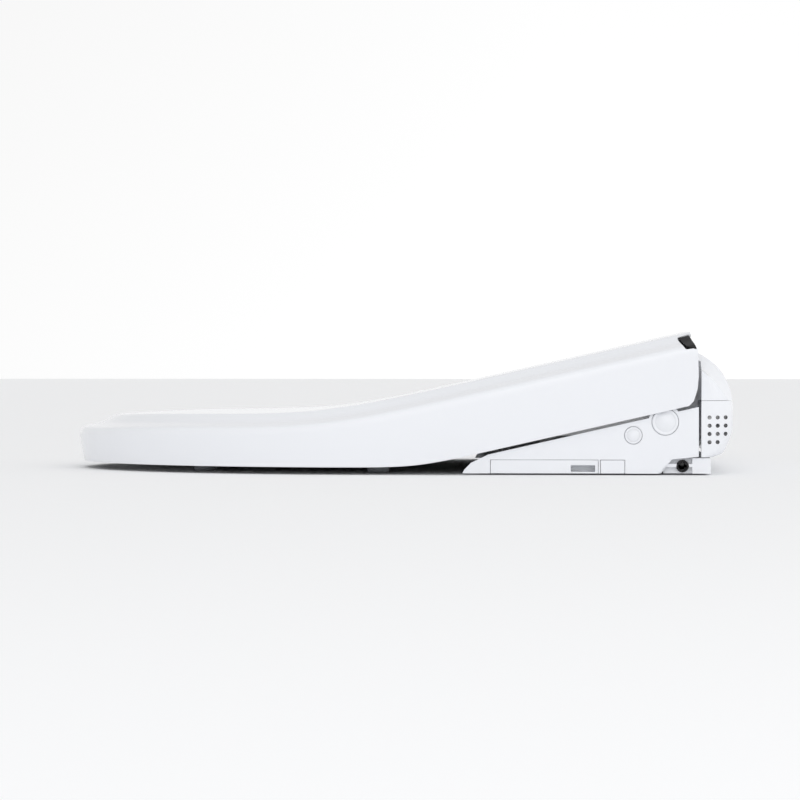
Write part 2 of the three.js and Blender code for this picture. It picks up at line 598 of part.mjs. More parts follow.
const baseHalf = plate.width / 2;
const plateBackY = axisY + plate.back;
const armInnerX = bodyHalf - filter.depth - 10;
const inletY = axisY + inlet.behind;
const glandY = axisY + gland.behind;
const flapX = caseHalf - fan.fromSide;
const flapY = frontY + flap.thickness / 2;
const flapAxisZ = flap.low + flap.height - 1;
{
  const half = chassisHalf;
  let tray = box(-half, half, frontY, axisY + unit.baseBack, unit.floor, floorTop);
  tray = tray.add(box(-half, half, axisY + unit.baseBack - 14, axisY + unit.baseBack, 1, unit.baseTop))
    .subtract(box(-baseHalf - 1, baseHalf + 1, axisY, axisY + 60, -1, unit.floor));
  for (const side of [1, -1]) {
    const wallOutline = [[coverFrontY + 8, 1], [coverFrontY + 8, 6],
      ...Array.from({ length: 7 }, (_, i) => lerp(coverFrontY + 22, axisY - 12, i / 6))
        .map((y) => [y, coverTop(y) - 1.5]), [axisY - 12, axisZ], [axisY, axisZ],
      [axisY + 12, axisZ], [axisY + 12, coverTop(axisY + 12) - 5], [coverBackY - 2, coverTop(coverBackY) - 5],
      [coverBackY - 2, axisZ - 26], [recessY + 12, axisZ - 27], [recessY + 2, 1]];
    tray = tray.add(slabX(wallOutline, side * chassisInner, side * half))
      .add(rodX(hinge.bossRadius, side * chassisInner, side * half, axisY, axisZ))
      .add(box(side * armInnerX, side * half, coverFrontY + 8, frontY + 4, 1, floorTop))
      .add(slabX([[axisY - 16, unit.floor], [axisY - hinge.bossRadius, axisZ], [axisY, axisZ + 3],
        [axisY + hinge.bossRadius, axisZ], [axisY + 16, unit.floor]],
      side * (caseHalf - WALL - 1.5), side * (caseHalf - WALL - 1.5 - unit.bracket)))
      .add(rodX(hinge.bossRadius, side * (caseHalf - WALL - 1.5),
        side * (caseHalf - WALL - 1.5 - unit.bracket), axisY, axisZ))
      .subtract(rodX(hinge.pinRadius + GAP / 2, side * (caseHalf - 12), side * (half + 1), axisY, axisZ));
  }
  tray = tray.subtract(box(bodyHalf - filter.depth - 1, half + 1, filterFrontY - GAP, filterBackY + GAP, -1,
    filter.height + GAP))
    .subtract(box(bodyHalf - button.depth - button.room, half + 1, buttonFrontY - GAP, buttonBackY + GAP, -1,
      filter.height + GAP))
    .subtract(box(-half - 1, -half + 34, recessY - 12, coverBackY + 1, -1, axisZ - 17.6))
    .subtract(box(-24, 24, frontY - 1, frontY + 30, unit.floor + 2, floorTop + 1));
  const middle = caseHalf;
  tray = tray.add(box(-middle, middle, frontY, frontY + WALL, floorTop - 1, unit.frontSplit - GAP));
  for (const side of [1, -1]) {
    tray = tray.add(box(side * (middle - WALL), side * middle, frontY, rearFrontY - 1.5, floorTop - 1,
      unit.frontSplit - GAP));
  }
  tray = tray.add(box(armInnerX, chassisHalf - 5, recessY + 4, axisY + unit.baseBack, 1, unit.baseTop))
    .subtract(nozzleMouth)
    .subtract(box(flapX - flap.width / 2 - flap.play, flapX + flap.width / 2 + flap.play, frontY - 1,
      frontY + WALL + 1, flap.low - flap.play, flap.low + flap.height + flap.play))
    .subtract(rodX(flap.pin + GAP, flapX - flap.width / 2 - 3, flapX + flap.width / 2 + 3, flapY,
      flapAxisZ, 12))
    .subtract(rodX(pipe.radius + GAP, -chassisHalf, -middle + 12, inletY, inlet.z, SMALL_ROUND))
    .subtract(rodX(gland.radius + GAP, chassisHalf - 14, chassisHalf + 1, glandY, gland.z,
      SMALL_ROUND))
    .subtract(rodX(gland.bore, armInnerX - 1, chassisHalf, glandY, gland.z, SMALL_ROUND));
  for (const side of [1, -1]) {
    tray = tray.subtract(rodY(screw.shank + GAP / 2, side * bezel.screws, bezel.screwZ, frontY - 1,
      frontY + WALL + 1, 12));
  }
  place('chassis', tray, paleGrey);
}

// Rubber feet: small ones under the arms at the front, large ones beside the mounting plate.
for (const [name, side] of [['left', 1], ['right', -1]]) {
  place(`unit_foot_front_${name}`, rodZ(foot.armRadius, side * (armInnerX + foot.armRadius + GAP),
    frontY - foot.ahead, 0, 1 - GAP, 18), rubber);
  place(`unit_foot_rear_${name}`, rodZ(foot.radius, side * (baseHalf + foot.besidePlate),
    axisY + foot.behind, 0, unit.floor - GAP, 18), rubber);
}

// Mounting plate: bolted to the bowl, and the unit slides on to it.
{
  let body = box(-baseHalf, baseHalf, plateBackY - plate.length, plateBackY, 0, plate.thickness);
  for (const side of [1, -1]) {
    const x = side * plate.slots;
    body = body.subtract(box(x - plate.slotWidth / 2, x + plate.slotWidth / 2,
      plateBackY - 20 - plate.slotLength, plateBackY - 20, -1, plate.thickness + 1));
    place(side > 0 ? 'plate_bolt_left' : 'plate_bolt_right', rodZ(plate.slotWidth / 2 - GAP, x,
      plateBackY - 20 - plate.slotLength / 2, 0, plate.thickness - GAP, 18), steel);
  }
  place('mounting_plate', body, acetal);
}

// ---------------------------------------------------------------- filter and release button

{
  const [inner, outer] = [bodyHalf - filter.depth, bodyHalf];
  const [wall, lip] = [filter.wall, outer - filter.lip];
  const body = box(inner, outer, filterFrontY, filterBackY, 1, filter.height)
    .subtract(box(outer - filter.notchDepth, outer + 1, filterBackY - filter.notch,
      filterBackY - filter.notchWall, filter.notchWall, filter.notchHeight + 1))
    .subtract(box(inner + wall, lip, filterFrontY + wall, filterBackY - wall, wall, filter.height + 1));
  place('deodoriser_cartridge', body, white);
  place('carbon_block', box(inner + wall + GAP, lip - GAP, filterFrontY + wall + GAP,
    filterBackY - wall - GAP, wall + GAP, filter.height - 0.8), black);
  place('release_button', box(bodyHalf - button.depth, bodyHalf, buttonFrontY, buttonBackY, 1,
    filter.height), white);
}

// ---------------------------------------------------------------- hinge pins and dampers

for (const [name, side] of [['left', 1], ['right', -1]]) {
  const inner = side * (caseHalf - pin.inside);
  place(`hinge_pin_${name}`, rodX(hinge.pinRadius, inner, side * (chassisHalf - 0.2), axisY, axisZ), steel);
  const which = side > 0 ? 'lid_damper' : 'seat_damper';
  place(which, rodX(damper.radius, inner - side * GAP, inner - side * damper.length, axisY, axisZ), black);
}

const inletInner = -caseHalf - inlet.inside;
place('inlet_port', rodX(inlet.radius, -chassisHalf + 1, inletInner, inletY, inlet.z, 24)
  .add(rodX(inlet.radius + inlet.flange, inletInner - 4, inletInner, inletY, inlet.z, 24))
  .subtract(rodX(inlet.bore, -chassisHalf, -caseHalf - inlet.boreEnd, inletY, inlet.z, SMALL_ROUND)), steel);
place('cord_gland', rodX(gland.radius, chassisHalf - 2 - gland.length, chassisHalf - 2, glandY, gland.z,
  SMALL_ROUND).subtract(rodX(gland.bore, chassisHalf - 3 - gland.length, chassisHalf, glandY, gland.z,
  SMALL_ROUND)), black);

// ---------------------------------------------------------------- water path

const tankLeft = -(caseHalf - 8);
const tankRight = tankLeft + tank.x;
const tankFront = frontY + 9;
const tankBack = tankFront + tank.y;
const tankLow = floorTop + GAP;
const tankTop = tankLow + tank.z;
{
  const c = tank.corner;
  place('heater_tank', slabX([[tankFront + c, tankLow], [tankBack - c, tankLow], [tankBack, tankLow + c],
    [tankBack, tankTop - c], [tankBack - c, tankTop], [tankFront + c, tankTop], [tankFront, tankTop - c],
    [tankFront, tankLow + c]], tankLeft, tankRight), acetal);
  place('power_supply', box(tankLeft + 3, tankRight - 5, tankFront + 9, tankBack - 6, tankTop + 1.5,
    tankTop + 13), paleGrey);
  const valveLeft = tankLeft + valve.inset;
  const valveRight = valveLeft + valve.width;
  const valveFront = tankBack + valve.fromTank;
  place('valve_block', box(valveLeft, valveRight, valveFront, axisY + valve.behind, floorTop + GAP, valve.top)
    .add(rodZ(valve.solenoid, valveRight + 1, axisY + 8, floorTop + 2, valve.top - 2, SMALL_ROUND)), acetal);
  place('inlet_pipe', rodX(pipe.radius, inletInner + GAP, valveLeft - GAP, inletY, inlet.z,
    SMALL_ROUND), hose);
  place('tank_feed_pipe', rodY(pipe.radius, tankLeft + 22, floorTop + 10, tankBack + GAP, valveFront - GAP,
    SMALL_ROUND), hose);
  const pumpLeft = valveRight + pump.fromValve;
  const [pumpY, pumpZ] = [axisY - 2, floorTop + pump.z];
  place('pump', rodX(pump.radius, pumpLeft, pumpLeft + pump.length, pumpY, pumpZ, 24), black);
  // The hose leaves the pump level and meets the side of the nozzle's guide square to it.
  const hoseX = pumpLeft + pump.length + 1;
  const end = new THREE.Vector3(0, nozzle.hoseAt, 0).applyMatrix4(nozzleFrame.matrix);
  const guideX = -nozzle.radius - nozzle.guideWall - 1.8;
  const middle = (guideX + hoseX) / 2;
  place('nozzle_hose', tube([[hoseX, pumpY, pumpZ], [hoseX + pipe.bend, pumpY, pumpZ],
    [middle, (pumpY + end.y) / 2, (pumpZ + end.z) / 2], [guideX - pipe.bend, end.y, end.z],
    [guideX, end.y, end.z]], pipe.hose, 14), hose);
}

// ---------------------------------------------------------------- nozzle and its drive

{
  const r = nozzle.radius;
  const pitch = Math.PI * rack.module;
  const slope = Math.tan(radians(rack.flank));
  const half = pitch / 4 - rack.backlash / 4;
  const [low, high] = [half + (rack.module + rack.clearance) * slope, half - rack.module * slope];
  const teeth = Math.floor((nozzle.length - rack.start - 2) / pitch);
  const outline = [[3, rack.start - 2], [rackRoot, rack.start - 2]];
  for (let i = 0; i < teeth; i++) {
    const y = rack.start + (i + 0.5) * pitch;
    outline.push([rackRoot, y - low], [rackTip, y - high], [rackTip, y + high], [rackRoot, y + low]);
  }
  outline.push([rackRoot, rack.start + teeth * pitch + 1], [3, rack.start + teeth * pitch + 1]);
  place('nozzle_wand', rodY(r, 0, 0, nozzle.tip + GAP, nozzle.length, 24)
    .add(slabZ(outline, -rack.width / 2, rack.width / 2)), acetal, nozzleFrame);
  place('nozzle_tip', rodY(r - 2.2, 0, 0, 0, 3.2, 24, r).add(rodY(r, 0, 0, 3, nozzle.tip, 24))
    .subtract(rodZ(1.1, 0, 7, r - 2, r + 1, 10)), steel, nozzleFrame);

  // Pinion: a tooth stands in the middle of a gap of the rack.
  const pinionX = pitchLine + pinionRadius;
  const pinionY = rack.start + Math.round(rack.pinionAt / pitch) * pitch;
  const rootRadius = pinionRadius - rack.module - rack.clearance;
  const tipRadius = pinionRadius + rack.module;
  const gear = [];
  for (let i = 0; i < rack.teeth; i++) {
    const middle = Math.PI + (i * 2 * Math.PI) / rack.teeth;
    for (const [radius, thick] of [[rootRadius, -low * 0.9], [pinionRadius, -half], [tipRadius, -high * 0.85],
      [tipRadius, high * 0.85], [pinionRadius, half], [rootRadius, low * 0.9]]) {
      const angle = middle + thick / radius;
      gear.push([pinionX + radius * Math.cos(angle), pinionY + radius * Math.sin(angle)]);
    }
  }
  place('drive_pinion', slabZ(gear, -rack.width / 2, rack.width / 2)
    .subtract(rodZ(motor.bore, pinionX, pinionY, -rack.width, rack.width, 12)), acetal, nozzleFrame);
  const motorLow = rack.width / 2 + motor.above;
  place('nozzle_motor', rodZ(motor.radius, pinionX, pinionY, motorLow, motorLow + motor.length, 24)
    .add(rodZ(motor.shaft, pinionX, pinionY, -rack.width / 2, motorLow + 1, 12)), black, nozzleFrame);

  const [inner, outer] = [r + nozzle.play, r + nozzle.guideWall];
  const [near, far] = [nozzle.guideStart, nozzle.length - 2];
  place('nozzle_guide', box(-outer, outer - 1, near, far, -outer, -inner)
    .add(box(-outer, -inner, near, far, -outer, r / 2)), paleGrey, nozzleFrame);

  let rim = box(-bezel.half, bezel.half, frontY - GAP - bezel.thickness, frontY - GAP, bezel.low, bezel.high)
    .subtract(nozzleMouth);
  for (const [name, side] of [['left', 1], ['right', -1]]) {
    const x = side * bezel.screws;
    rim = rim.subtract(rodY(screw.hole, x, bezel.screwZ, frontY - 5, frontY, 12));
    place(`bezel_screw_${name}`, rodY(screw.head, x, bezel.screwZ,
      frontY - bezel.thickness - GAP - screw.headHeight, frontY - bezel.thickness - 2 * GAP, 14)
      .add(rodY(screw.shank, x, bezel.screwZ, frontY - bezel.thickness - 1, frontY + WALL, 12)), steel);
  }
  place('nozzle_bezel', rim, white);
}

// ---------------------------------------------------------------- dryer and air

{
  const y = frontY + fan.fromFront;
  const low = floorTop + fan.above;
  const top = low + fan.height;
  const skin = fan.skin;
  const duct = { half: flap.width / 2, low, high: low + fan.ductHeight };
  place('fan_housing', rodZ(fan.radius, flapX, y, low, top, ROUND)
    .subtract(rodZ(fan.radius - skin, flapX, y, low + skin, top - skin, ROUND))
    .subtract(rodZ(fan.eye, flapX, y, top - skin - 1, top + 1, 20))
    .subtract(box(flapX - duct.half + skin, flapX + duct.half - skin, y - fan.radius - 1, y - fan.wheel,
      low + skin, duct.high - skin)), paleGrey);
  place('dryer_duct', box(flapX - duct.half, flapX + duct.half, frontY + WALL + GAP, y - 10, duct.low,
    duct.high).subtract(box(flapX - duct.half + skin, flapX + duct.half - skin, frontY, y, duct.low + skin,
    duct.high - skin)).subtract(rodZ(fan.radius + GAP, flapX, y, 0, 100, ROUND)), paleGrey);
  place('fan_motor', rodZ(fan.hub - 3, flapX, y, low + skin + GAP, low + 19, 20), black);
  let wheel = rodZ(fan.hub, flapX, y, low + 5, low + 23, 20)
    .subtract(rodZ(fan.hub - 2, flapX, y, low + 4, low + 21, 20))
    .add(rodZ(fan.wheel, flapX, y, low + 4, low + 5.5, 24).subtract(rodZ(fan.hub - 2, flapX, y, 0, 99, 20)));
  for (let i = 0; i < fan.blades; i++) {
    const geometry = new THREE.BoxGeometry(fan.wheel - fan.hub, fan.blade, fan.bladeHeight);
    geometry.translate((fan.wheel + fan.hub - fan.blade) / 2, 0, 0);
    geometry.rotateZ((i / fan.blades) * 2 * Math.PI);
    geometry.translate(flapX, y, low + 5 + fan.bladeHeight / 2);
    wheel = wheel.add(solid(geometry));
  }
  place('fan_impeller', wheel, black);
  place('dryer_flap', box(flapX - flap.width / 2, flapX + flap.width / 2, frontY, frontY + flap.thickness,
    flap.low, flap.low + flap.height)
    .add(rodX(flap.pin, flapX - flap.width / 2 - flap.pinEnd, flapX + flap.width / 2 + flap.pinEnd, flapY,
      flapAxisZ, 12)), white);
  place('deodoriser_fan', box(caseHalf + 4, caseHalf + 28, axisY - 28, axisY - 6, floorTop + GAP,
    floorTop + 15), black);

  const boardZ = top + board.above;
  const boardRight = caseHalf - board.inset;
  let circuit = box(board.left, boardRight, frontY + board.front, frontY + board.back, boardZ,
    boardZ + board.thickness);
  for (const [x, back, size] of [[0.2, 30, 9], [0.5, 40, 12], [0.8, 52, 8]]) {
    const middle = lerp(board.left, boardRight, x);
    circuit = circuit.add(box(middle - size, middle + size, frontY + back - size * 0.7,
      frontY + back + size * 0.7, boardZ + 1, boardZ + 1 + board.parts));
  }
  place('control_board', circuit, greenBoard);
}

export default model;
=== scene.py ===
"""Electric bidet seat: fine surfaces and finishes over its solid model, with a studio stage."""

import json
import math

import bmesh
import bpy
import numpy as np
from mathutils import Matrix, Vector


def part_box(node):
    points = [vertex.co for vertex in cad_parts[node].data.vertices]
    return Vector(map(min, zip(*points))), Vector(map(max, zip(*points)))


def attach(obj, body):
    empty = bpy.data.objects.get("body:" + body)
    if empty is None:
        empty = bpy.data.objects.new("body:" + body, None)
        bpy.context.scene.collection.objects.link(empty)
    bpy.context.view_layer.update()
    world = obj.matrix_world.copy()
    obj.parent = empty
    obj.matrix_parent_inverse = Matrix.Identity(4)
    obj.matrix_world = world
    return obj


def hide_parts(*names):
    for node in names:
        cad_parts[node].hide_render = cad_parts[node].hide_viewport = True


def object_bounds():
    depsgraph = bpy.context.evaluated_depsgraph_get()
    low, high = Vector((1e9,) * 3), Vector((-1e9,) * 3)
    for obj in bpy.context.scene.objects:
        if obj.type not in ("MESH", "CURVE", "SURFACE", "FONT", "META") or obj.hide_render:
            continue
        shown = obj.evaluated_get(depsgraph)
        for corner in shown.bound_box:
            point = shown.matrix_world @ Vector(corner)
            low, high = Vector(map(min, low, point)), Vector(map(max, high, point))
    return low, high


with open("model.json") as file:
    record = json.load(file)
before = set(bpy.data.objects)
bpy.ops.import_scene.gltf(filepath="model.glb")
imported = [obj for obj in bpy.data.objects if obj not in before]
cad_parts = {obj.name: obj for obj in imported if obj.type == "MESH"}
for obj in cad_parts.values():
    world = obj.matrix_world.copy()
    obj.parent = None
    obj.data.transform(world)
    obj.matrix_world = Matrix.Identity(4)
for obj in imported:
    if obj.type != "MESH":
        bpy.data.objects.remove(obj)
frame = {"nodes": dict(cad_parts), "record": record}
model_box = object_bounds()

bl_info = {
    "name": "Electric Bidet Seat",
    "version": (1, 0, 0),
    "blender": (4, 5, 0),
    "location": "View3D > Sidebar > Bidet Seat",
    "description": "Builds the lid, seat, casing and finishes of an electric bidet seat",
    "category": "Object",
}

MM = 0.001


def hinge_line():
    """Centre of the hinge in side view, as (y, z)."""
    joints = frame["record"]["behaviour"]["joints"]
    place = next(j["pos_m"] for j in joints if j["name"] == "seat_hinge")
    return place[1], place[2]


AXIS_Y, AXIS_Z = hinge_line()
LID_LOW, LID_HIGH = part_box("lid_shell")
COVER_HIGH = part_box("side_cover_left")[1]
REAR_LOW, REAR_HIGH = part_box("rear_cover")
SEAT_LOW, SEAT_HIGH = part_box("seat_top_shell")
NOSE_Y = LID_LOW.y
LID_HALF = LID_HIGH.x
BODY_HALF = COVER_HIGH.x

NOSE_CURVE_Y = NOSE_Y + 250 * MM        # the straight sides of lid and seat end here
BEND_Y = AXIS_Y - 263.1 * MM            # middle of the bend in the tops of lid and seat
BEND_BLEND = 25 * MM
LUG_INNER, LUG_OUTER = BODY_HALF - 36 * MM, BODY_HALF - 25 * MM
ARM_INNER, ARM_OUTER = BODY_HALF - 21.6 * MM, BODY_HALF - 5.9 * MM
PIN_BORE = 5.3 * MM
HUMP_RADIUS, BACK_RADIUS = 58.8 * MM, 52.7 * MM
BACK_CORNER = 21 * MM                   # radius in plan where the unit's back meets its sides
VENT_Y, VENT_Z = AXIS_Y + 33.7 * MM, AXIS_Z + 3.4 * MM
VENT_PITCH, VENT_RADIUS = 6.3 * MM, 1.6 * MM
VENT_COLUMNS = (3, 3, 3, 2)             # holes in each row, from the top


# ------------------------------------------------------------------ settings

class BidetSizes(bpy.types.PropertyGroup):
    """Sizes that a user would change."""

    crown: bpy.props.FloatProperty(
        name="Lid Crown", description="How far the middle of the lid rises above its edges",
        default=1.6 * MM, min=0.0, max=4 * MM, subtype="DISTANCE", unit="LENGTH")
    wall: bpy.props.FloatProperty(
        name="Wall", description="Thickness of the moulded shells",
        default=2.8 * MM, min=1 * MM, max=4 * MM, subtype="DISTANCE", unit="LENGTH")
    soft_edge: bpy.props.FloatProperty(
        name="Soft Edge", description="Radius on the edges of small mouldings",
        default=0.5 * MM, min=0.1 * MM, max=2 * MM, subtype="DISTANCE", unit="LENGTH")
    seat_edge: bpy.props.FloatProperty(
        name="Seat Edge", description="Radius on the outer edge of the seat ring",
        default=12 * MM, min=4 * MM, max=16 * MM, subtype="DISTANCE", unit="LENGTH")
    dish: bpy.props.FloatProperty(
        name="Seat Dish", description="How far the seat's top falls towards its opening",
        default=0.7 * MM, min=0.0, max=0.9 * MM, subtype="DISTANCE", unit="LENGTH")


class BidetColours(bpy.types.PropertyGroup):
    """Colours of the finishes."""

    gloss: bpy.props.FloatVectorProperty(
        name="Casing", description="Colour of the glossy casing and lid", subtype="COLOR",
        default=(0.86, 0.875, 0.91), min=0.0, max=1.0)
    seat: bpy.props.FloatVectorProperty(
        name="Seat", description="Colour of the seat ring", subtype="COLOR",
        default=(0.88, 0.885, 0.90), min=0.0, max=1.0)
    # Black of the seals, and of the band that paints the shade in the lid's open back.
    trim: bpy.props.FloatVectorProperty(
        name="Trim", description="Colour of the dark strip and seals", subtype="COLOR",
        default=(0.006, 0.006, 0.007), min=0.0, max=1.0)
    floor: bpy.props.FloatVectorProperty(
        name="Floor", description="Colour of the floor and backdrop", subtype="COLOR",
        default=(0.955, 0.96, 0.97), min=0.0, max=1.0)


# ------------------------------------------------------------------ curves of the object

def bend(y, level, slope, start, blend):
    """A level line that turns smoothly into a slope:
    level + slope * blend * ln(1 + e^((y - start)/blend))."""
    return level + slope * blend * np.log1p(np.exp((y - start) / blend))


def lid_low(y):
    """Height of the lid's lower edge at y."""
    return bend(y, 5.5 * MM, 0.2275, AXIS_Y - 190.1 * MM, 12 * MM)


def panel(y):
    """Height of the lid's top at y: a bend, less a parabola near the nose."""
    start, end, depth = NOSE_Y + 124 * MM, NOSE_Y + 31 * MM, 2.4 * MM
    near_nose = np.maximum(0, start - np.maximum(y, end)) / (start - end)
    return bend(y, 45.5 * MM, 0.2265, BEND_Y, BEND_BLEND) - depth * near_nose ** 2


def seat_low(y):
    """Height of the seat's underside at y."""
    return lid_low(y) + 2.8 * MM


def seat_top(y):
    """Height of the seat's top at y."""
    return bend(y, 38 * MM, 0.14, BEND_Y, BEND_BLEND)


def smoothstep(t):
    """3t^2 - 2t^3 between 0 and 1."""
    t = np.clip(t, 0, 1)
    return t * t * (3 - 2 * t)


def through(keys, count):
    """A smooth curve through key points: Catmull-Rom pieces, evaluated for all parameters at once."""
    keys = np.asarray(keys, float)
    padded = np.vstack([2 * keys[0] - keys[1], keys, 2 * keys[-1] - keys[-2]])
    t = np.linspace(0, len(keys) - 1, count)
    i = np.minimum(t.astype(int), len(keys) - 2)
    f = (t - i)[:, None]
    a, b, c, d = padded[i], padded[i + 1], padded[i + 2], padded[i + 3]
    return 0.5 * (2 * b + (c - a) * f + (2 * a - 5 * b + 4 * c - d) * f ** 2
                  + (3 * b - a - 3 * c + d) * f ** 3)


# ------------------------------------------------------------------ meshes

def grid_faces(rows, columns, close_rows=False, close_columns=False):
    """Quads of a grid of points, row by row, as an array of four indices each."""
    r = np.arange(rows if close_rows else rows - 1)
    c = np.arange(columns if close_columns else columns - 1)
    a, b = np.meshgrid(r, c, indexing="ij")
    a2, b2 = (a + 1) % rows, (b + 1) % columns
    quads = np.stack([a * columns + b, a2 * columns + b, a2 * columns + b2, a * columns + b2], -1)
    return quads.reshape(-1, 4)


def build(name, points, faces, outward=None):
    """A linked object from points and faces; doubles are merged, and faces turned to the outward hint."""
    mesh = bpy.data.meshes.new(name)
    mesh.from_pydata(np.asarray(points).reshape(-1, 3).tolist(), [], [list(f) for f in faces])
    work = bmesh.new()
    work.from_mesh(mesh)
    bmesh.ops.remove_doubles(work, verts=work.verts, dist=1e-6)
    bmesh.ops.dissolve_degenerate(work, edges=work.edges, dist=1e-7)
    bmesh.ops.recalc_face_normals(work, faces=work.faces)
    if outward is not None:
        wanted = Vector(outward)
        tilt = sum((f.normal.dot(wanted) * f.calc_area() for f in work.faces))
        if tilt < 0:
            bmesh.ops.reverse_faces(work, faces=work.faces)
    for face in work.faces:
        face.smooth = True
    work.to_mesh(mesh)
    work.free()
    piece = bpy.data.objects.new(name, mesh)
    bpy.context.scene.collection.objects.link(piece)
    return piece


def settle(piece, body, slot, material, *nodes):
    """Gives a piece its finish, the body it moves with and the solids it stands for."""
    piece.data.materials.clear()
    piece.data.materials.append(material)
    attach(piece, body)
    if nodes:
        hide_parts(*nodes)
    return piece


def thicken(piece, wall):
    """Gives an open surface its wall, inwards from the outside."""
    made = piece.modifiers.new("Wall", "SOLIDIFY")
    made.thickness, made.offset, made.use_even_offset = wall, -1, True
    return piece


def round_edges(piece, radius, steps=3, angle=35):
    """Rounds the edges sharper than an angle."""
    made = piece.modifiers.new("Soft Edges", "BEVEL")
    made.width, made.segments, made.limit_method = radius, steps, "ANGLE"
    made.angle_limit = math.radians(angle)
    made.harden_normals = True
    return piece


def baked(piece):
    """Applies the piece's modifiers, so that its mesh can be cut."""
    graph = bpy.context.evaluated_depsgraph_get()
    graph.update()
    mesh = bpy.data.meshes.new_from_object(piece.evaluated_get(graph))
    piece.modifiers.clear()
    piece.data = mesh
    return piece


def cut(piece, cutter):
    """Takes one closed mesh out of another."""
    made = piece.modifiers.new("Cut", "BOOLEAN")
    made.operation, made.object, made.solver = "DIFFERENCE", cutter, "EXACT"
    baked(piece)
    bpy.data.objects.remove(cutter, do_unlink=True)
    return piece


def softened(node, name, radius, steps=2, angle=30):
    """A merged copy of a solid with rounded edges."""
    source = frame["nodes"][node]
    mesh = source.data.copy()
    work = bmesh.new()
    work.from_mesh(mesh)
    bmesh.ops.remove_doubles(work, verts=work.verts, dist=2e-6)
    bmesh.ops.dissolve_limit(work, angle_limit=math.radians(1.0), verts=work.verts, edges=work.edges)
    for face in work.faces:
        face.smooth = True
    work.to_mesh(mesh)
    work.free()
    mesh.set_sharp_from_angle(angle=math.radians(angle))
    piece = bpy.data.objects.new(name, mesh)
    bpy.context.scene.collection.objects.link(piece)
    return round_edges(piece, radius, steps, angle)


def turned(name, profile, centre, direction, steps=64):
    """A lathe shape: a profile of (radius, height) points carried round a direction through a centre."""
    profile = np.asarray(profile, float)
    z = np.array(Vector(direction).normalized())
    x = np.array(Vector(direction).orthogonal().normalized())
    y = np.cross(z, x)
    angle = np.linspace(0, 2 * np.pi, steps, endpoint=False)[:, None, None]
    radius, height = profile[None, :, :1], profile[None, :, 1:]
    points = np.asarray(centre) + radius * (np.cos(angle) * x + np.sin(angle) * y) + height * z
    return build(name, points, grid_faces(steps, len(profile), close_rows=True))


def extruded(name, outline, x0, x1):
    """A flat outline of (y, z) points carried along x, closed at both ends."""
    outline = np.asarray(outline, float)
    count = len(outline)
    sides = np.stack([np.column_stack([np.full(count, x), outline]) for x in (x0, x1)])
    faces = [list(f) for f in grid_faces(2, count, close_columns=True)]
    faces += [list(range(count))[::-1], list(range(count, 2 * count))]
    return build(name, sides, faces)


# ------------------------------------------------------------------ finishes

class Value:
    """A shader value: an expression on it adds the Math nodes that work it out."""

    def __init__(self, finish, socket):
        self.finish, self.socket = finish, socket

    def _math(self, operation, *values):
        sockets = [v.socket if isinstance(v, Value) else v for v in values]
        return self.finish.node("ShaderNodeMath", {"operation": operation}, *sockets)[0]

    def __add__(self, other):
        return self._math("ADD", self, other)

    def __radd__(self, other):
        return self._math("ADD", other, self)

    def __sub__(self, other):
        return self._math("SUBTRACT", self, other)

    def __rsub__(self, other):
        return self._math("SUBTRACT", other, self)

    def __mul__(self, other):
        return self._math("MULTIPLY", self, other)

    def above(self, edge):
        return self._math("GREATER_THAN", self, edge)

    def at_least(self, least):
        return self._math("MAXIMUM", self, least)


class Nodes:
    """A node tree and the one method that adds its nodes."""

    def __init__(self, tree):
        self.tree = tree

    def node(self, kind, settings=None, *values, **named):
        """Adds a node, sets its settings and then its inputs by order or name, and returns its outputs."""
        made = self.tree.nodes.new(kind)
        for key, setting in (settings or {}).items():
            if key == "stops":
                ramp = made.color_ramp.elements
                while len(ramp) < len(setting):
                    ramp.new(0.5)
                for stop, (position, colour) in zip(ramp, setting):
                    stop.position, stop.color = position, colour
            else:
                setattr(made, key, setting)
        inputs = [(made.inputs[i], v) for i, v in enumerate(values)]
        inputs += [(made.inputs[k.replace("_", " ")], v) for k, v in named.items()]
        for socket, value in inputs:
            self.feed(socket, value)
        shown = [s for s in made.outputs if s.enabled]
        return Outputs(self, shown)

    def feed(self, socket, value):
        value = value.socket if isinstance(value, Value) else value
        if isinstance(value, bpy.types.NodeSocket):
            self.tree.links.new(value, socket)
        else:
            socket.default_value = value


class Finish(Nodes):
    """A material, its shader and its noise, mixing and bumps."""

    def __init__(self, name):
        self.material = bpy.data.materials.new(name)
        self.material.use_nodes = True
        super().__init__(self.material.node_tree)
        self.shader = self.tree.nodes["Principled BSDF"]
        self.place = self.node("ShaderNodeTexCoord")["Object"]

    def noise(self, scale, detail=3.0, stretch=None, roughness=0.5):
        """Noise of a scale, stretched along the axes if wanted."""
        vector = self.place
        if stretch:
            vector = self.node("ShaderNodeMapping", None, vector, Scale=stretch)[0]
        return self.node("ShaderNodeTexNoise", None, Vector=vector, Scale=scale, Detail=detail,
                         Roughness=roughness)[0]

    def mix(self, factor, first, second):
        """Colours mixed by a factor."""
        return self.node("ShaderNodeMix", {"data_type": "RGBA"}).inputs_set(
            {0: factor, 6: first, 7: second})[0]

    def relief(self, height, strength, distance):
        """Bumps from a height."""
        self.feed(self.shader.inputs["Normal"], self.node(
            "ShaderNodeBump", None, Strength=strength, Distance=distance, Height=height)[0])

    def set(self, **inputs):
        """Sets the shader's own sockets."""
        for key, value in inputs.items():
            self.feed(self.shader.inputs[key.replace("_", " ")], value)
        return self.material


class Outputs:
    """A node's outputs, by order or by name."""

    def __init__(self, finish, sockets):
        self.finish, self.sockets = finish, sockets

    def __getitem__(self, key):
        if isinstance(key, int):
            return Value(self.finish, self.sockets[key])
        return Value(self.finish, next(s for s in self.sockets if s.name == key))

    def inputs_set(self, values):
        node = self.sockets[0].node
        for index, value in values.items():
            self.finish.feed(node.inputs[index], value)
        return self


def rgba(colour):
    return (*colour[:3], 1.0)


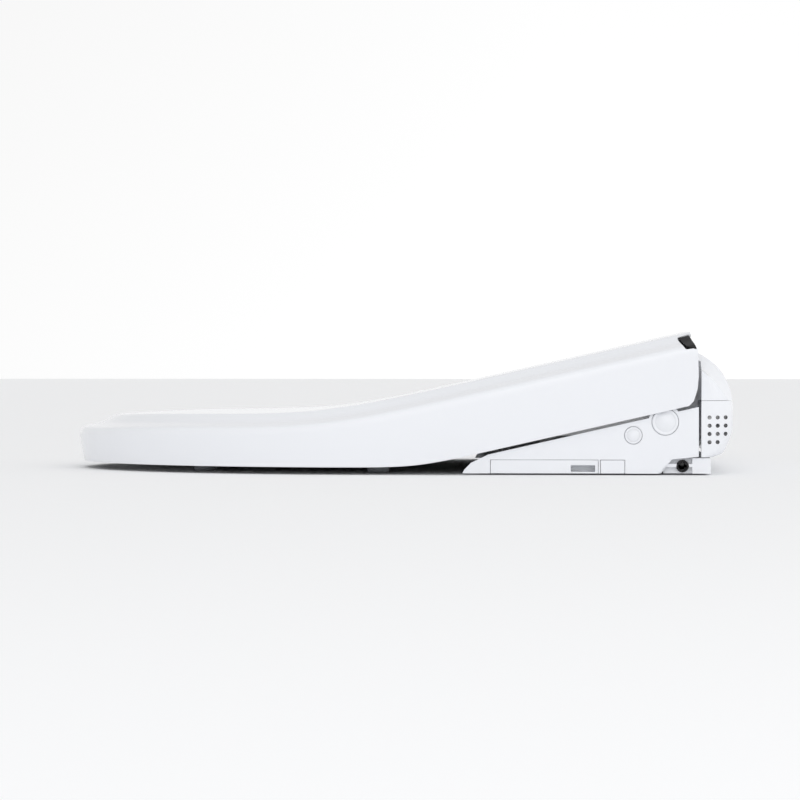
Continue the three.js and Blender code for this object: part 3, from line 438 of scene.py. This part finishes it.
def shade(colour, factor):
    return rgba([min(1, c * factor) for c in colour[:3]])


def gloss_moulding(name, colour, roughness):
    """Glossy injection moulding: faint flow marks in its gloss and the waviness of a polished tool."""
    finish = Finish(name)
    flow = finish.noise(9.0, 3.0, stretch=(1.0, 0.35, 1.0))
    ripple = finish.noise(160.0, 2.0)
    finish.relief(ripple, 0.05, 0.0002)
    finish.set(Base_Color=finish.mix(flow, shade(colour, 0.985), shade(colour, 1.01)),
               Roughness=roughness - 0.03 + flow * 0.06)
    return finish.set(IOR=1.5, Coat_Weight=0.25, Coat_Roughness=0.06)


def grained_moulding(name, colour, roughness=0.5, grain=1400.0, depth=0.25):
    """Matte moulding with the fine grain of a spark-eroded tool."""
    finish = Finish(name)
    fine = finish.noise(grain, 2.0, roughness=0.6)
    broad = finish.noise(14.0, 3.0)
    finish.relief(fine, depth, 0.0002)
    finish.set(Base_Color=finish.mix(broad, shade(colour, 0.9), shade(colour, 1.08)),
               Roughness=roughness - 0.06 + fine * 0.12)
    return finish.set(IOR=1.48)


def rubber_pad(name, colour):
    """Soft rubber: dusty, with a fine open grain."""
    finish = Finish(name)
    fine = finish.noise(900.0, 4.0, roughness=0.7)
    dust = finish.noise(45.0, 4.0)
    finish.relief(fine, 0.35, 0.0002)
    finish.set(Base_Color=finish.mix(dust, shade(colour, 0.86), shade(colour, 1.12)),
               Roughness=0.72 + fine * 0.2)
    return finish.set(IOR=1.45)


def brushed_steel(name, along=(1.0, 60.0, 60.0), roughness=0.3):
    """Brushed stainless steel: fine scratches drawn out along one axis."""
    finish = Finish(name)
    lines = finish.noise(60.0, 5.0, stretch=along, roughness=0.7)
    cloud = finish.noise(25.0, 2.0)
    finish.relief(lines, 0.12, 0.0001)
    finish.set(Base_Color=finish.mix(cloud, (0.50, 0.51, 0.52, 1), (0.64, 0.65, 0.66, 1)),
               Roughness=roughness - 0.08 + lines * 0.18)
    return finish.set(Metallic=1.0)


def circuit_board(name):
    """Green board: parallel copper tracks under the mask, and gold pads."""
    finish = Finish(name)
    bricks = finish.node("ShaderNodeTexBrick", {"offset": 0.5}, Vector=finish.place, Scale=260.0,
                         Mortar_Size=0.16, Color1=(0, 0, 0, 1), Color2=(0, 0, 0, 1), Mortar=(1, 1, 1, 1))
    tracks = bricks["Fac"]
    pads = finish.node("ShaderNodeTexVoronoi", {"feature": "F1"}, Vector=finish.place,
                       Scale=220.0)["Distance"]
    board = finish.mix(tracks, (0.012, 0.10, 0.045, 1), (0.03, 0.20, 0.09, 1))
    gold = 1.0 - pads.above(0.16)
    finish.relief(tracks, 0.2, 0.0001)
    finish.set(Base_Color=finish.mix(gold, board, (0.62, 0.45, 0.15, 1)), Metallic=gold * 0.9,
               Roughness=0.42 - gold * 0.15)
    return finish.set(IOR=1.5)


def heater_foil(name):
    """Copper foil with the winding track of a heater element."""
    finish = Finish(name)
    wave = finish.node("ShaderNodeTexWave", {"wave_type": "RINGS", "rings_direction": "Z"},
                       Vector=finish.place, Scale=38.0, Distortion=1.2, Detail=1.0)["Fac"]
    track = wave.above(0.5)
    finish.relief(track, 0.4, 0.0002)
    finish.set(Base_Color=finish.mix(track, (0.62, 0.30, 0.10, 1), (0.35, 0.15, 0.05, 1)),
               Metallic=1.0 - track * 0.4, Roughness=0.35 + track * 0.2)
    return finish.set(IOR=1.5)


# The black trim material also colours the band of painted shade in the lid's open back.
FINISH_NAMES = {
    "white_shell": "Gloss White Casing", "seat_white": "Gloss White Ring",
    "inner_plastic": "Grey Inner Moulding", "black_trim": "Black Trim And Painted Shade", "rubber_pad": "Grey Rubber",
    "steel": "Brushed Steel", "steel_polished": "Polished Steel", "natural_plastic": "Natural Acetal",
    "board": "Circuit Board", "heater_foil": "Heater Foil", "hose": "Silicone Hose",
}


def make_finishes():
    """Makes one material for each slot of the record."""
    colours, name = bpy.context.scene.bidet_colours, FINISH_NAMES
    gloss_moulding(name["white_shell"], colours.gloss, 0.2)
    gloss_moulding(name["seat_white"], colours.seat, 0.26)
    grained_moulding(name["inner_plastic"], (0.42, 0.44, 0.47))
    # Black trim, and the band painted as shade in the lid's open back.
    grained_moulding(name["black_trim"], colours.trim, 0.62, 1800.0, 0.2)
    rubber_pad(name["rubber_pad"], (0.38, 0.39, 0.42))
    brushed_steel(name["steel"])
    brushed_steel(name["steel_polished"], (60.0, 1.0, 60.0), 0.16)
    grained_moulding(name["natural_plastic"], (0.78, 0.76, 0.68), 0.38, 1100.0, 0.12)
    circuit_board(name["board"])
    heater_foil(name["heater_foil"])
    gloss_moulding(name["hose"], (0.66, 0.73, 0.78), 0.32)


def finish_of(slot):
    """The material made for a slot."""
    return bpy.data.materials[FINISH_NAMES[slot]]


# ------------------------------------------------------------------ lid

def lid_half():
    """Right half of the lid's outside, as a grid from the back to the nose and from the lower edge to the
    middle line.  Each level is a straight run and a quarter ellipse whose half-axes shrink by the inset."""
    sizes = bpy.context.scene.bidet_sizes
    walls, band_count, across = 14, 30, 26
    shoulder = 15.0
    band = through([(0, 0, shoulder), (0.35, 0.7, 12.6), (1.3, 2.3, 10.7), (3.4, 5.0, 9.4),
                    (9, 12.5, 8.0), (15.6, 18.6, 6.2), (20, 23.8, 3.4), (23.4, 28.0, 1.1),
                    (25, 30, 0.25), (26.2, 31.4, 0.0)], band_count) * MM
    t = np.linspace(0, 1, walls, endpoint=False)
    side = np.concatenate([0.8 * MM * (1 - t), band[:, 0]])
    nose = np.concatenate([3.5 * MM * (1 - t) ** 1.3, band[:, 1]])
    drop = np.concatenate([np.full(walls, shoulder * MM), band[:, 2]])
    blend = np.concatenate([t, np.ones(band_count)])

    # Back end of each level, by its height there: the side wall's edge, the slot for the black band of
    # painted shade, the lip.
    back_z = lid_low(AXIS_Y + 22 * MM) * (1 - blend) + (panel(AXIS_Y + 22 * MM) - drop) * blend
    wall_edge = np.interp(back_z, AXIS_Z + np.array([10, 12.4, 15.8, 25, 34.4, 55.5]) * MM,
                          AXIS_Y + np.array([14, 16.9, 21.4, 24.4, 25.2, 24.6]) * MM)
    slot_edge = np.interp(back_z, AXIS_Z + np.array([56.0, 65.5]) * MM,
                          AXIS_Y + np.array([16.0, 9.8]) * MM)
    back = np.where(back_z < AXIS_Z + 56.4 * MM, wall_edge, slot_edge)
    back = np.where(drop < 1.6 * MM, AXIS_Y + 19.7 * MM, back)

    start = NOSE_CURVE_Y
    along = np.linspace(0, 1, 46)[:, None]
    turn = (np.linspace(0, 1, 60) ** 0.9)[1:, None] * np.pi / 2
    half = (LID_HALF - side)[None, :]
    reach = (start - NOSE_Y - nose)[None, :]
    x = np.vstack([np.repeat(half, len(along), 0), half * np.cos(turn)])
    y = np.vstack([back * (1 - along) + start * along, start - reach * np.sin(turn)])
    top = panel(y) - drop
    z = lid_low(y) * (1 - blend) + top * blend
    x[-1] = 0

    k = np.linspace(0, 1, across)[None, 1:]
    rim_x, rim_y, rim_z = x[:, -1:], y[:, -1:], z[:, -1:]
    crown = sizes.crown * (rim_x / LID_HALF) ** 2 * (1 - (1 - k) ** 2) ** 1.2
    middle = np.stack([rim_x * (1 - k), np.repeat(rim_y, across - 1, 1), rim_z + crown], -1)
    return np.concatenate([np.stack([x, y, z], -1), middle], 1)


def lid_lug_outline():
    """Side outline of a lug: a round boss on the hinge line, and an arm that widens along its length by the
    cube of its parameter and ends inside the lid's skin."""
    angle = np.radians(157)
    centre = np.array([AXIS_Y, AXIS_Z])
    around = np.linspace(angle - np.pi / 2 + 0.45, angle + np.pi / 2 - 0.45 - 2 * np.pi, 40)
    boss = centre + 9.5 * MM * np.column_stack([np.cos(around), np.sin(around)])
    t = np.linspace(0, 1, 20)[:, None]
    lean = angle - np.radians(3) * smoothstep(t)
    ahead = np.hstack([np.cos(lean), np.sin(lean)])
    across = np.hstack([-ahead[:, 1:], ahead[:, :1]])
    reach = (9 + 91 * t) * MM
    lower = centre + ahead * reach + across * (5.2 + 4.5 * t ** 3) * MM
    upper = centre + ahead * reach - across * (5.2 + 4.5 * t ** 3) * MM
    outline = np.vstack([boss, lower, upper[::-1]])
    outline[:, 1] = np.minimum(outline[:, 1], panel(outline[:, 0]) - 1 * MM)
    return outline


class BIDET_OT_lid(bpy.types.Operator):
    """Builds the wrap-over lid, its two lugs, its pads, and a black band that paints the shade where the
    lid's open back shows its hollow.
    """

    bl_idname = "bidet.lid"
    bl_label = "Lid"
    bl_options = {"REGISTER", "UNDO"}

    def execute(self, context):
        sizes = context.scene.bidet_sizes
        half = lid_half()
        rows, columns = half.shape[:2]
        other = half * np.array([-1, 1, 1])
        faces = grid_faces(rows, columns)
        count = rows * columns
        both = np.vstack([faces, faces[:, ::-1] + count])
        lid = build("lid_cover", np.concatenate([half.reshape(-1, 3), other.reshape(-1, 3)]), both,
                    outward=(0, 0, 1))
        round_edges(thicken(lid, sizes.wall), 0.7 * MM, 3, 50)
        settle(lid, "lid", "white_shell", finish_of("white_shell"), "lid_shell")
        for name, side in (("left", 1), ("right", -1)):
            x0, x1 = side * LUG_INNER, side * LUG_OUTER
            lug = extruded(f"lid_lug_{name}", lid_lug_outline(), x0, x1)
            past = 5 * MM
            long = LUG_OUTER - LUG_INNER + 2 * past
            cut(lug, turned("bore", [(0, 0), (PIN_BORE, 0), (PIN_BORE, long), (0, long)],
                            (min(x0, x1) - past, AXIS_Y, AXIS_Z), (1, 0, 0), 64))
            lug.data.set_sharp_from_angle(angle=math.radians(30))
            round_edges(lug, 0.5 * MM)
            settle(lug, "lid", "white_shell", finish_of("white_shell"))
            low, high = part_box(f"lid_bumper_{name}")
            centre = (low + high) / 2
            tall, r = high.z - low.z, (high.x - low.x) / 2
            profile = [(0, 0), (r * 0.7, 0), (r * 0.93, tall * 0.2), (r, tall * 0.5), (r, tall), (0, tall)]
            pad = turned(f"lid_pad_{name}", profile, (centre.x, centre.y, low.z), (0, 0, 1), 40)
            settle(pad, "lid", "rubber_pad", finish_of("rubber_pad"), f"lid_bumper_{name}")
        # Black band in the lid's back: painted shade where the hollow under the lid shows dark.
        shade_strip = softened("lid_rear_strip", "rear_strip", 0.4 * MM)
        settle(shade_strip, "lid", "black_trim", finish_of("black_trim"), "lid_rear_strip")
        return {"FINISHED"}


# ------------------------------------------------------------------ seat

def seat_rings():
    """Outer and inner outline of the seat ring, point for point by direction from the opening's middle."""
    half = SEAT_HIGH.x
    start = NOSE_CURVE_Y
    front, back = SEAT_LOW.y + 72 * MM, SEAT_HIGH.y - 40 * MM
    middle = front + (back - front) * 0.55
    angle = np.linspace(0, 2 * np.pi, 192, endpoint=False)
    c, s = np.cos(angle), np.sin(angle)
    inner = np.column_stack([102 * MM * c, middle + np.where(s < 0, middle - front, back - middle) * s])

    # Distance to the outline along each direction: the smaller of the rounded front and the box behind.
    a, b = half, start - SEAT_LOW.y
    qa = (c / a) ** 2 + (s / b) ** 2
    qb = 2 * s * (middle - start) / b ** 2
    qc = ((middle - start) / b) ** 2 - 1
    ellipse = (-qb + np.sqrt(np.maximum(qb ** 2 - 4 * qa * qc, 0))) / (2 * qa)
    hits = middle + s * ellipse
    squareness = 14.0
    box_y = SEAT_HIGH.y - middle
    box = (np.abs(c / half) ** squareness
           + np.abs(np.maximum(s, 0) / box_y) ** squareness) ** (-1 / squareness)
    reach = np.where(hits < start, ellipse, box)
    outer = np.column_stack([reach * c, middle + reach * s])
    return inner, outer


def seat_surface():
    """Top of the seat: for each direction a curve from the outer lower edge, over a rounded shoulder and
    a gently dished top, to the lower edge of the opening."""
    sizes = bpy.context.scene.bidet_sizes
    inner, outer = seat_rings()
    width = np.linalg.norm(outer - inner, axis=1)[:, None]
    edge, lip = sizes.seat_edge, 9 * MM
    q = np.linspace(0, np.pi / 2, 10)[None, :]
    run = np.maximum(width - edge - lip, 4 * MM)
    t = np.linspace(0, 1, 14)[None, 1:-1]
    inward = np.hstack([np.zeros_like(width), edge * (1 - np.cos(q)) + 0 * width, edge + run * t,
                        width - lip + lip * np.sin(q), width])
    sink = np.hstack([np.full_like(width, -1), edge * (1 - np.sin(q)) + 0 * width,
                      sizes.dish * smoothstep(t) + 0 * width,
                      sizes.dish + lip * (1 - np.cos(q)) + 0 * width, np.full_like(width, -1)])
    direction = (inner - outer) / width
    plan = outer[:, None, :] + direction[:, None, :] * inward[:, :, None]
    z = np.where(sink < 0, seat_low(plan[..., 1]) + 0.2 * MM, seat_top(plan[..., 1]) - sink)
    return np.concatenate([plan, z[..., None]], -1)


class BIDET_OT_seat(bpy.types.Operator):
    """Builds the seat ring, its underside with the hinge arms, and its pads."""

    bl_idname = "bidet.seat"
    bl_label = "Seat"
    bl_options = {"REGISTER", "UNDO"}

    def execute(self, context):
        sizes = context.scene.bidet_sizes
        points = seat_surface()
        rows, columns = points.shape[:2]
        ring = build("seat_cover", points, grid_faces(rows, columns, close_rows=True), outward=(0, 0, 1))
        baked(thicken(ring, sizes.wall))
        arm_top = seat_low(SEAT_HIGH.y) + 26 * MM
        ahead, behind = SEAT_HIGH.y - 15 * MM, SEAT_HIGH.y + 5 * MM
        arm = [(ahead, 0), (behind, 0), (behind, arm_top), (ahead, arm_top)]
        for side in (1, -1):
            cut(ring, extruded("notch", arm, side * ARM_INNER, side * ARM_OUTER))
        ring.data.set_sharp_from_angle(angle=math.radians(40))
        round_edges(ring, 0.5 * MM, 2, 50)
        settle(ring, "seat", "seat_white", finish_of("seat_white"), "seat_top_shell")
        base = softened("seat_bottom_shell", "seat_underside", 0.5 * MM)
        settle(base, "seat", "seat_white", finish_of("seat_white"), "seat_bottom_shell")
        for node in ("front_left", "front_right", "rear_left", "rear_right"):
            low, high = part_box(f"seat_bumper_{node}")
            centre, tall, r = (low + high) / 2, high.z - low.z, (high.x - low.x) / 2
            pad = turned(f"seat_pad_{node}", [(0, 0), (r * 0.8, 0), (r * 0.94, 0.5 * MM), (r, 1.6 * MM),
                                              (r * 0.96, tall), (0, tall)], (centre.x, centre.y, low.z),
                         (0, 0, 1), 48)
            settle(pad, "seat", "rubber_pad", finish_of("rubber_pad"), f"seat_bumper_{node}")
        return {"FINISHED"}


# ------------------------------------------------------------------ pieces softened from their solids

def slot_of(node):
    """The record's material slot of a node."""
    return next(p["material_slot"] for p in frame["record"]["subparts"] if p["node"] == node)


def body_holding(node):
    """The body that a node rides on."""
    bodies = frame["record"]["behaviour"]["bodies"]
    return next(body for body, nodes in bodies.items() if node in nodes)


def finish_for(node):
    return finish_of(slot_of(node))


def soften_each(nodes, radius, steps=2):
    """Replaces each node with a softened copy in its own finish."""
    for node in nodes:
        piece = softened(node, f"{node}_fine", radius, steps)
        settle(piece, body_holding(node), slot_of(node), finish_for(node), node)


def round_piece(node, profile, direction, steps):
    """Replaces a round node with a lathe shape; the profile's heights run from the node's near end."""
    low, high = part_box(node)
    way = Vector(direction)
    centre = (low + high) / 2
    near = centre - way * (high - low).dot(Vector([abs(w) for w in way])) / 2
    piece = turned(f"{node}_turned", profile, near, direction, steps)
    return settle(piece, body_holding(node), slot_of(node), finish_for(node), node)


def span(node):
    """Size of a node's box."""
    low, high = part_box(node)
    return high - low


def back_curve():
    """Side view of the unit's back about the hinge line, from the top of the hump to its lower edge: an arc
    whose radius shrinks from the hump's to the back's as the angle falls, then a tapering run."""
    phi = np.radians(np.linspace(112, -4, 60))
    radius = BACK_RADIUS + (HUMP_RADIUS - BACK_RADIUS) * smoothstep(np.degrees(phi) / 50)
    arc = np.column_stack([radius * np.cos(phi), radius * np.sin(phi)])
    taper = through([(52.5, -3.6), (51.6, -8.7), (48.2, -17.7), (44.7, -24), (38, -27)], 26)[1:] * MM
    return np.vstack([arc, taper]) + np.array([AXIS_Y, AXIS_Z])


def across_back(x):
    """Shortens the back of the unit towards its ends: y beyond the covers' joint is scaled by the root of
    1 - u^2, with u running from 0 to 1 over the corner, and returns (scale, height limit)."""
    u = np.clip((np.abs(x) - (BODY_HALF - BACK_CORNER)) / BACK_CORNER, 0, 1)
    fall_width, fall_height = 23 * MM, 10 * MM
    fall = smoothstep((np.abs(x) - (BODY_HALF - fall_width)) / fall_width)
    return np.sqrt(np.maximum(1 - u ** 2, 0)), HUMP_RADIUS - fall_height * fall


def back_sheet(curve):
    """A sheet along a side-view curve from end to end of the unit, rounded in plan at its ends."""
    ends = BODY_HALF - BACK_CORNER
    corner = np.sin(np.linspace(0, np.pi / 2, 12)[1:]) * BACK_CORNER
    side = np.concatenate([np.linspace(0, ends, 9), ends + corner])
    x = np.concatenate([-side[:0:-1], side])[:, None]
    scale, limit = across_back(x)
    joint = REAR_LOW.y
    y, z = curve[None, :, 0] + 0 * x, curve[None, :, 1] + 0 * x
    y = np.where(y > joint, joint + (y - joint) * scale, y)
    reach = np.hypot(y - AXIS_Y, z - AXIS_Z)
    shrink = np.minimum(1, limit / np.maximum(reach, 1e-6))
    return np.stack([x + 0 * y, AXIS_Y + (y - AXIS_Y) * shrink, AXIS_Z + (z - AXIS_Z) * shrink], -1)


class BIDET_OT_casing(bpy.types.Operator):
    """Builds the unit's casing: upper case, slotted back cover, chassis and side covers."""

    bl_idname = "bidet.casing"
    bl_label = "Casing"
    bl_options = {"REGISTER", "UNDO"}

    def execute(self, context):
        sizes = context.scene.bidet_sizes
        edge = sizes.soft_edge
        curve = back_curve()
        lower = curve[curve[:, 1] < REAR_HIGH.z]
        lower = np.vstack([[np.interp(REAR_HIGH.z, curve[::-1, 1], curve[::-1, 0]), REAR_HIGH.z], lower])
        points = back_sheet(lower)
        rows, columns = points.shape[:2]
        cover = build("vent_cover", points, grid_faces(rows, columns), outward=(0, 1, 0))
        baked(thicken(cover, sizes.wall))
        through_both = 2.2 * BODY_HALF
        drill = [(0, 0), (VENT_RADIUS, 0), (VENT_RADIUS, through_both), (0, through_both)]
        for row, holes in enumerate(VENT_COLUMNS):
            for column in range(holes):
                place = (-through_both / 2, VENT_Y + VENT_PITCH * column, VENT_Z - VENT_PITCH * row)
                cut(cover, turned("hole", drill, place, (1, 0, 0), 24))
        cover.data.set_sharp_from_angle(angle=math.radians(35))
        round_edges(cover, 0.3 * MM, 2, 40)
        settle(cover, "unit", "white_shell", finish_of("white_shell"), "rear_cover")
        soften_each(["upper_case", "side_cover_left", "side_cover_right"], edge * 1.6, 3)
        soften_each(["chassis"], edge)
        return {"FINISHED"}


class BIDET_OT_fittings(bpy.types.Operator):
    """Builds what is set into the casing: hinge caps, plugs, feet, cartridge, button, gland and inlet."""

    bl_idname = "bidet.fittings"
    bl_label = "Fittings"
    bl_options = {"REGISTER", "UNDO"}

    def execute(self, context):
        edge = context.scene.bidet_sizes.soft_edge
        soften_each(["deodoriser_cartridge", "carbon_block", "release_button", "cord_gland", "inlet_port",
                     "mounting_plate"], edge)
        for node in ("hinge_cap_left", "hinge_cap_right", "side_plug_left", "side_plug_right"):
            way = 1 if node.endswith("left") else -1
            tall, r = span(node).x, span(node).z / 2
            lip = min(1.2 * MM, tall * 0.4)
            q = np.linspace(0, np.pi / 2, 7)
            rim = [(r - lip * (1 - math.cos(a)), tall - lip * (1 - math.sin(a))) for a in q]
            profile = [(0, 0), (r, 0)] + rim + [(r * 0.78, tall), (r * 0.745, tall - 0.35 * MM),
                                                (r * 0.71, tall), (0, tall)]
            round_piece(node, profile, (way, 0, 0), 96)
        for corner in ("front_left", "front_right", "rear_left", "rear_right"):
            node = f"unit_foot_{corner}"
            tall, r = span(node).z, span(node).x / 2
            round_piece(node, [(0, 0), (r * 0.8, 0), (r * 0.93, tall * 0.18), (r, tall * 0.5),
                               (r, tall), (0, tall)], (0, 0, 1), 48)
        soften_each(["plate_bolt_left", "plate_bolt_right", "hinge_pin_left", "hinge_pin_right",
                     "lid_damper", "seat_damper"], edge * 0.6)
        return {"FINISHED"}


class BIDET_OT_nozzle(bpy.types.Operator):
    """Builds the wash nozzle: wand, tip, guide, pinion, motor, bezel and screws."""

    bl_idname = "bidet.nozzle"
    bl_label = "Nozzle"
    bl_options = {"REGISTER", "UNDO"}

    def execute(self, context):
        edge = context.scene.bidet_sizes.soft_edge
        soften_each(["nozzle_wand", "drive_pinion"], edge * 0.3)
        soften_each(["nozzle_tip", "bezel_screw_left", "bezel_screw_right"], edge * 0.5, 3)
        soften_each(["nozzle_guide", "nozzle_motor"], edge * 0.8)
        soften_each(["nozzle_bezel"], edge, 3)
        return {"FINISHED"}


class BIDET_OT_inside(bpy.types.Operator):
    """Builds the water, air and electric pieces inside the unit."""

    bl_idname = "bidet.inside"
    bl_label = "Inside"
    bl_options = {"REGISTER", "UNDO"}

    def execute(self, context):
        edge = context.scene.bidet_sizes.soft_edge
        soften_each(["heater_tank", "power_supply", "valve_block", "pump", "fan_motor", "deodoriser_fan"],
                    edge * 1.5, 3)
        soften_each(["inlet_pipe", "tank_feed_pipe", "nozzle_hose"], edge * 0.4)
        soften_each(["fan_housing", "dryer_duct", "fan_impeller", "dryer_flap", "control_board"], edge * 0.5)
        soften_each(["seat_heater"], edge * 0.2)
        return {"FINISHED"}


# ------------------------------------------------------------------ stage

CAMERA_PLACE, LENS = (2.5, 0.1276, 0.0873), 136.0
LEVEL, FROM_LEFT, LESS_OVERHEAD, LESS_AHEAD = 1.18, 0.14, 0.36, 0.36     # strength of the sky's light


def area_light(name, place, target, size, watts):
    """A soft rectangular light aimed at a point."""
    lamp = bpy.data.lights.new(name, "AREA")
    lamp.shape, lamp.size, lamp.size_y = "RECTANGLE", size[0], size[1]
    lamp.energy = watts
    made = bpy.data.objects.new(name, lamp)
    made.location = place
    made.rotation_euler = (Vector(target) - Vector(place)).to_track_quat("-Z", "Y").to_euler()
    bpy.context.scene.collection.objects.link(made)
    return made


class BIDET_OT_stage(bpy.types.Operator):
    """Sets the pale floor, the soft lights and the camera at the left side, level with the lid."""

    bl_idname = "bidet.stage"
    bl_label = "Stage"
    bl_options = {"REGISTER", "UNDO"}

    def execute(self, context):
        scene = context.scene
        low, high = model_box
        middle = (Vector(low) + Vector(high)) / 2
        reach, ground = 12.0, low[2] - 0.2 * MM
        floor = build("floor", [(-reach, -reach, ground), (reach, -reach, ground), (reach, reach, ground),
                                (-reach, reach, ground)], [[0, 1, 2, 3]], outward=(0, 0, 1))
        paint = Finish("Pale Floor")
        floor.data.materials.append(paint.set(Base_Color=rgba(scene.bidet_colours.floor), Roughness=0.85))

        world = bpy.data.worlds.new("Studio")
        world.use_nodes = True
        sky = Nodes(world.node_tree)
        way = sky.node("ShaderNodeTexCoord")["Generated"]
        parts = sky.node("ShaderNodeSeparateXYZ", None, way)
        overhead, ahead = parts["Z"].at_least(0), (parts["Y"] * -1.0).at_least(0)
        light = world.node_tree.nodes["Background"]
        light.inputs["Color"].default_value = (1.0, 1.0, 1.0, 1)
        sky.feed(light.inputs["Strength"], LEVEL + parts["X"] * FROM_LEFT - overhead * LESS_OVERHEAD
                 - ahead * LESS_AHEAD)
        scene.world = world
        area_light("side_softbox", (2.4, 0.6, 0.9), middle, (1.6, 1.0), 4.0)

        lens = bpy.data.cameras.new("camera")
        lens.sensor_width = 36.0
        lens.lens = LENS
        camera = bpy.data.objects.new("camera", lens)
        camera.location = CAMERA_PLACE
        aim = Vector((0, 0, middle.z))
        camera.rotation_euler = (aim - camera.location).to_track_quat("-Z", "Y").to_euler()
        scene.collection.objects.link(camera)
        scene.camera = camera
        scene.view_settings.view_transform = "Standard"
        return {"FINISHED"}


# ------------------------------------------------------------------ panel

PIECES = (BIDET_OT_lid, BIDET_OT_seat, BIDET_OT_casing, BIDET_OT_fittings, BIDET_OT_nozzle,
          BIDET_OT_inside, BIDET_OT_stage)


class BIDET_PT_panel(bpy.types.Panel):
    """Lists the settings and one button for each group of pieces."""

    bl_label = "Bidet Seat"
    bl_idname = "BIDET_PT_panel"
    bl_space_type = "VIEW_3D"
    bl_region_type = "UI"
    bl_category = "Bidet Seat"

    def draw(self, context):
        for settings in (context.scene.bidet_sizes, context.scene.bidet_colours):
            box = self.layout.box()
            for name in settings.bl_rna.properties.keys():
                if name not in ("rna_type", "name"):
                    box.prop(settings, name)
        for operator in PIECES:
            self.layout.operator(operator.bl_idname)


CLASSES = (BidetSizes, BidetColours, *PIECES, BIDET_PT_panel)


def register():
    for kind in CLASSES:
        bpy.utils.register_class(kind)
    bpy.types.Scene.bidet_sizes = bpy.props.PointerProperty(type=BidetSizes)
    bpy.types.Scene.bidet_colours = bpy.props.PointerProperty(type=BidetColours)


def unregister():
    del bpy.types.Scene.bidet_sizes
    del bpy.types.Scene.bidet_colours
    for kind in reversed(CLASSES):
        bpy.utils.unregister_class(kind)


def main():
    """Builds every piece."""
    register()
    make_finishes()
    for operator in PIECES:
        group, name = operator.bl_idname.split(".")
        getattr(getattr(bpy.ops, group), name)()


if __name__ == "__main__":
    main()
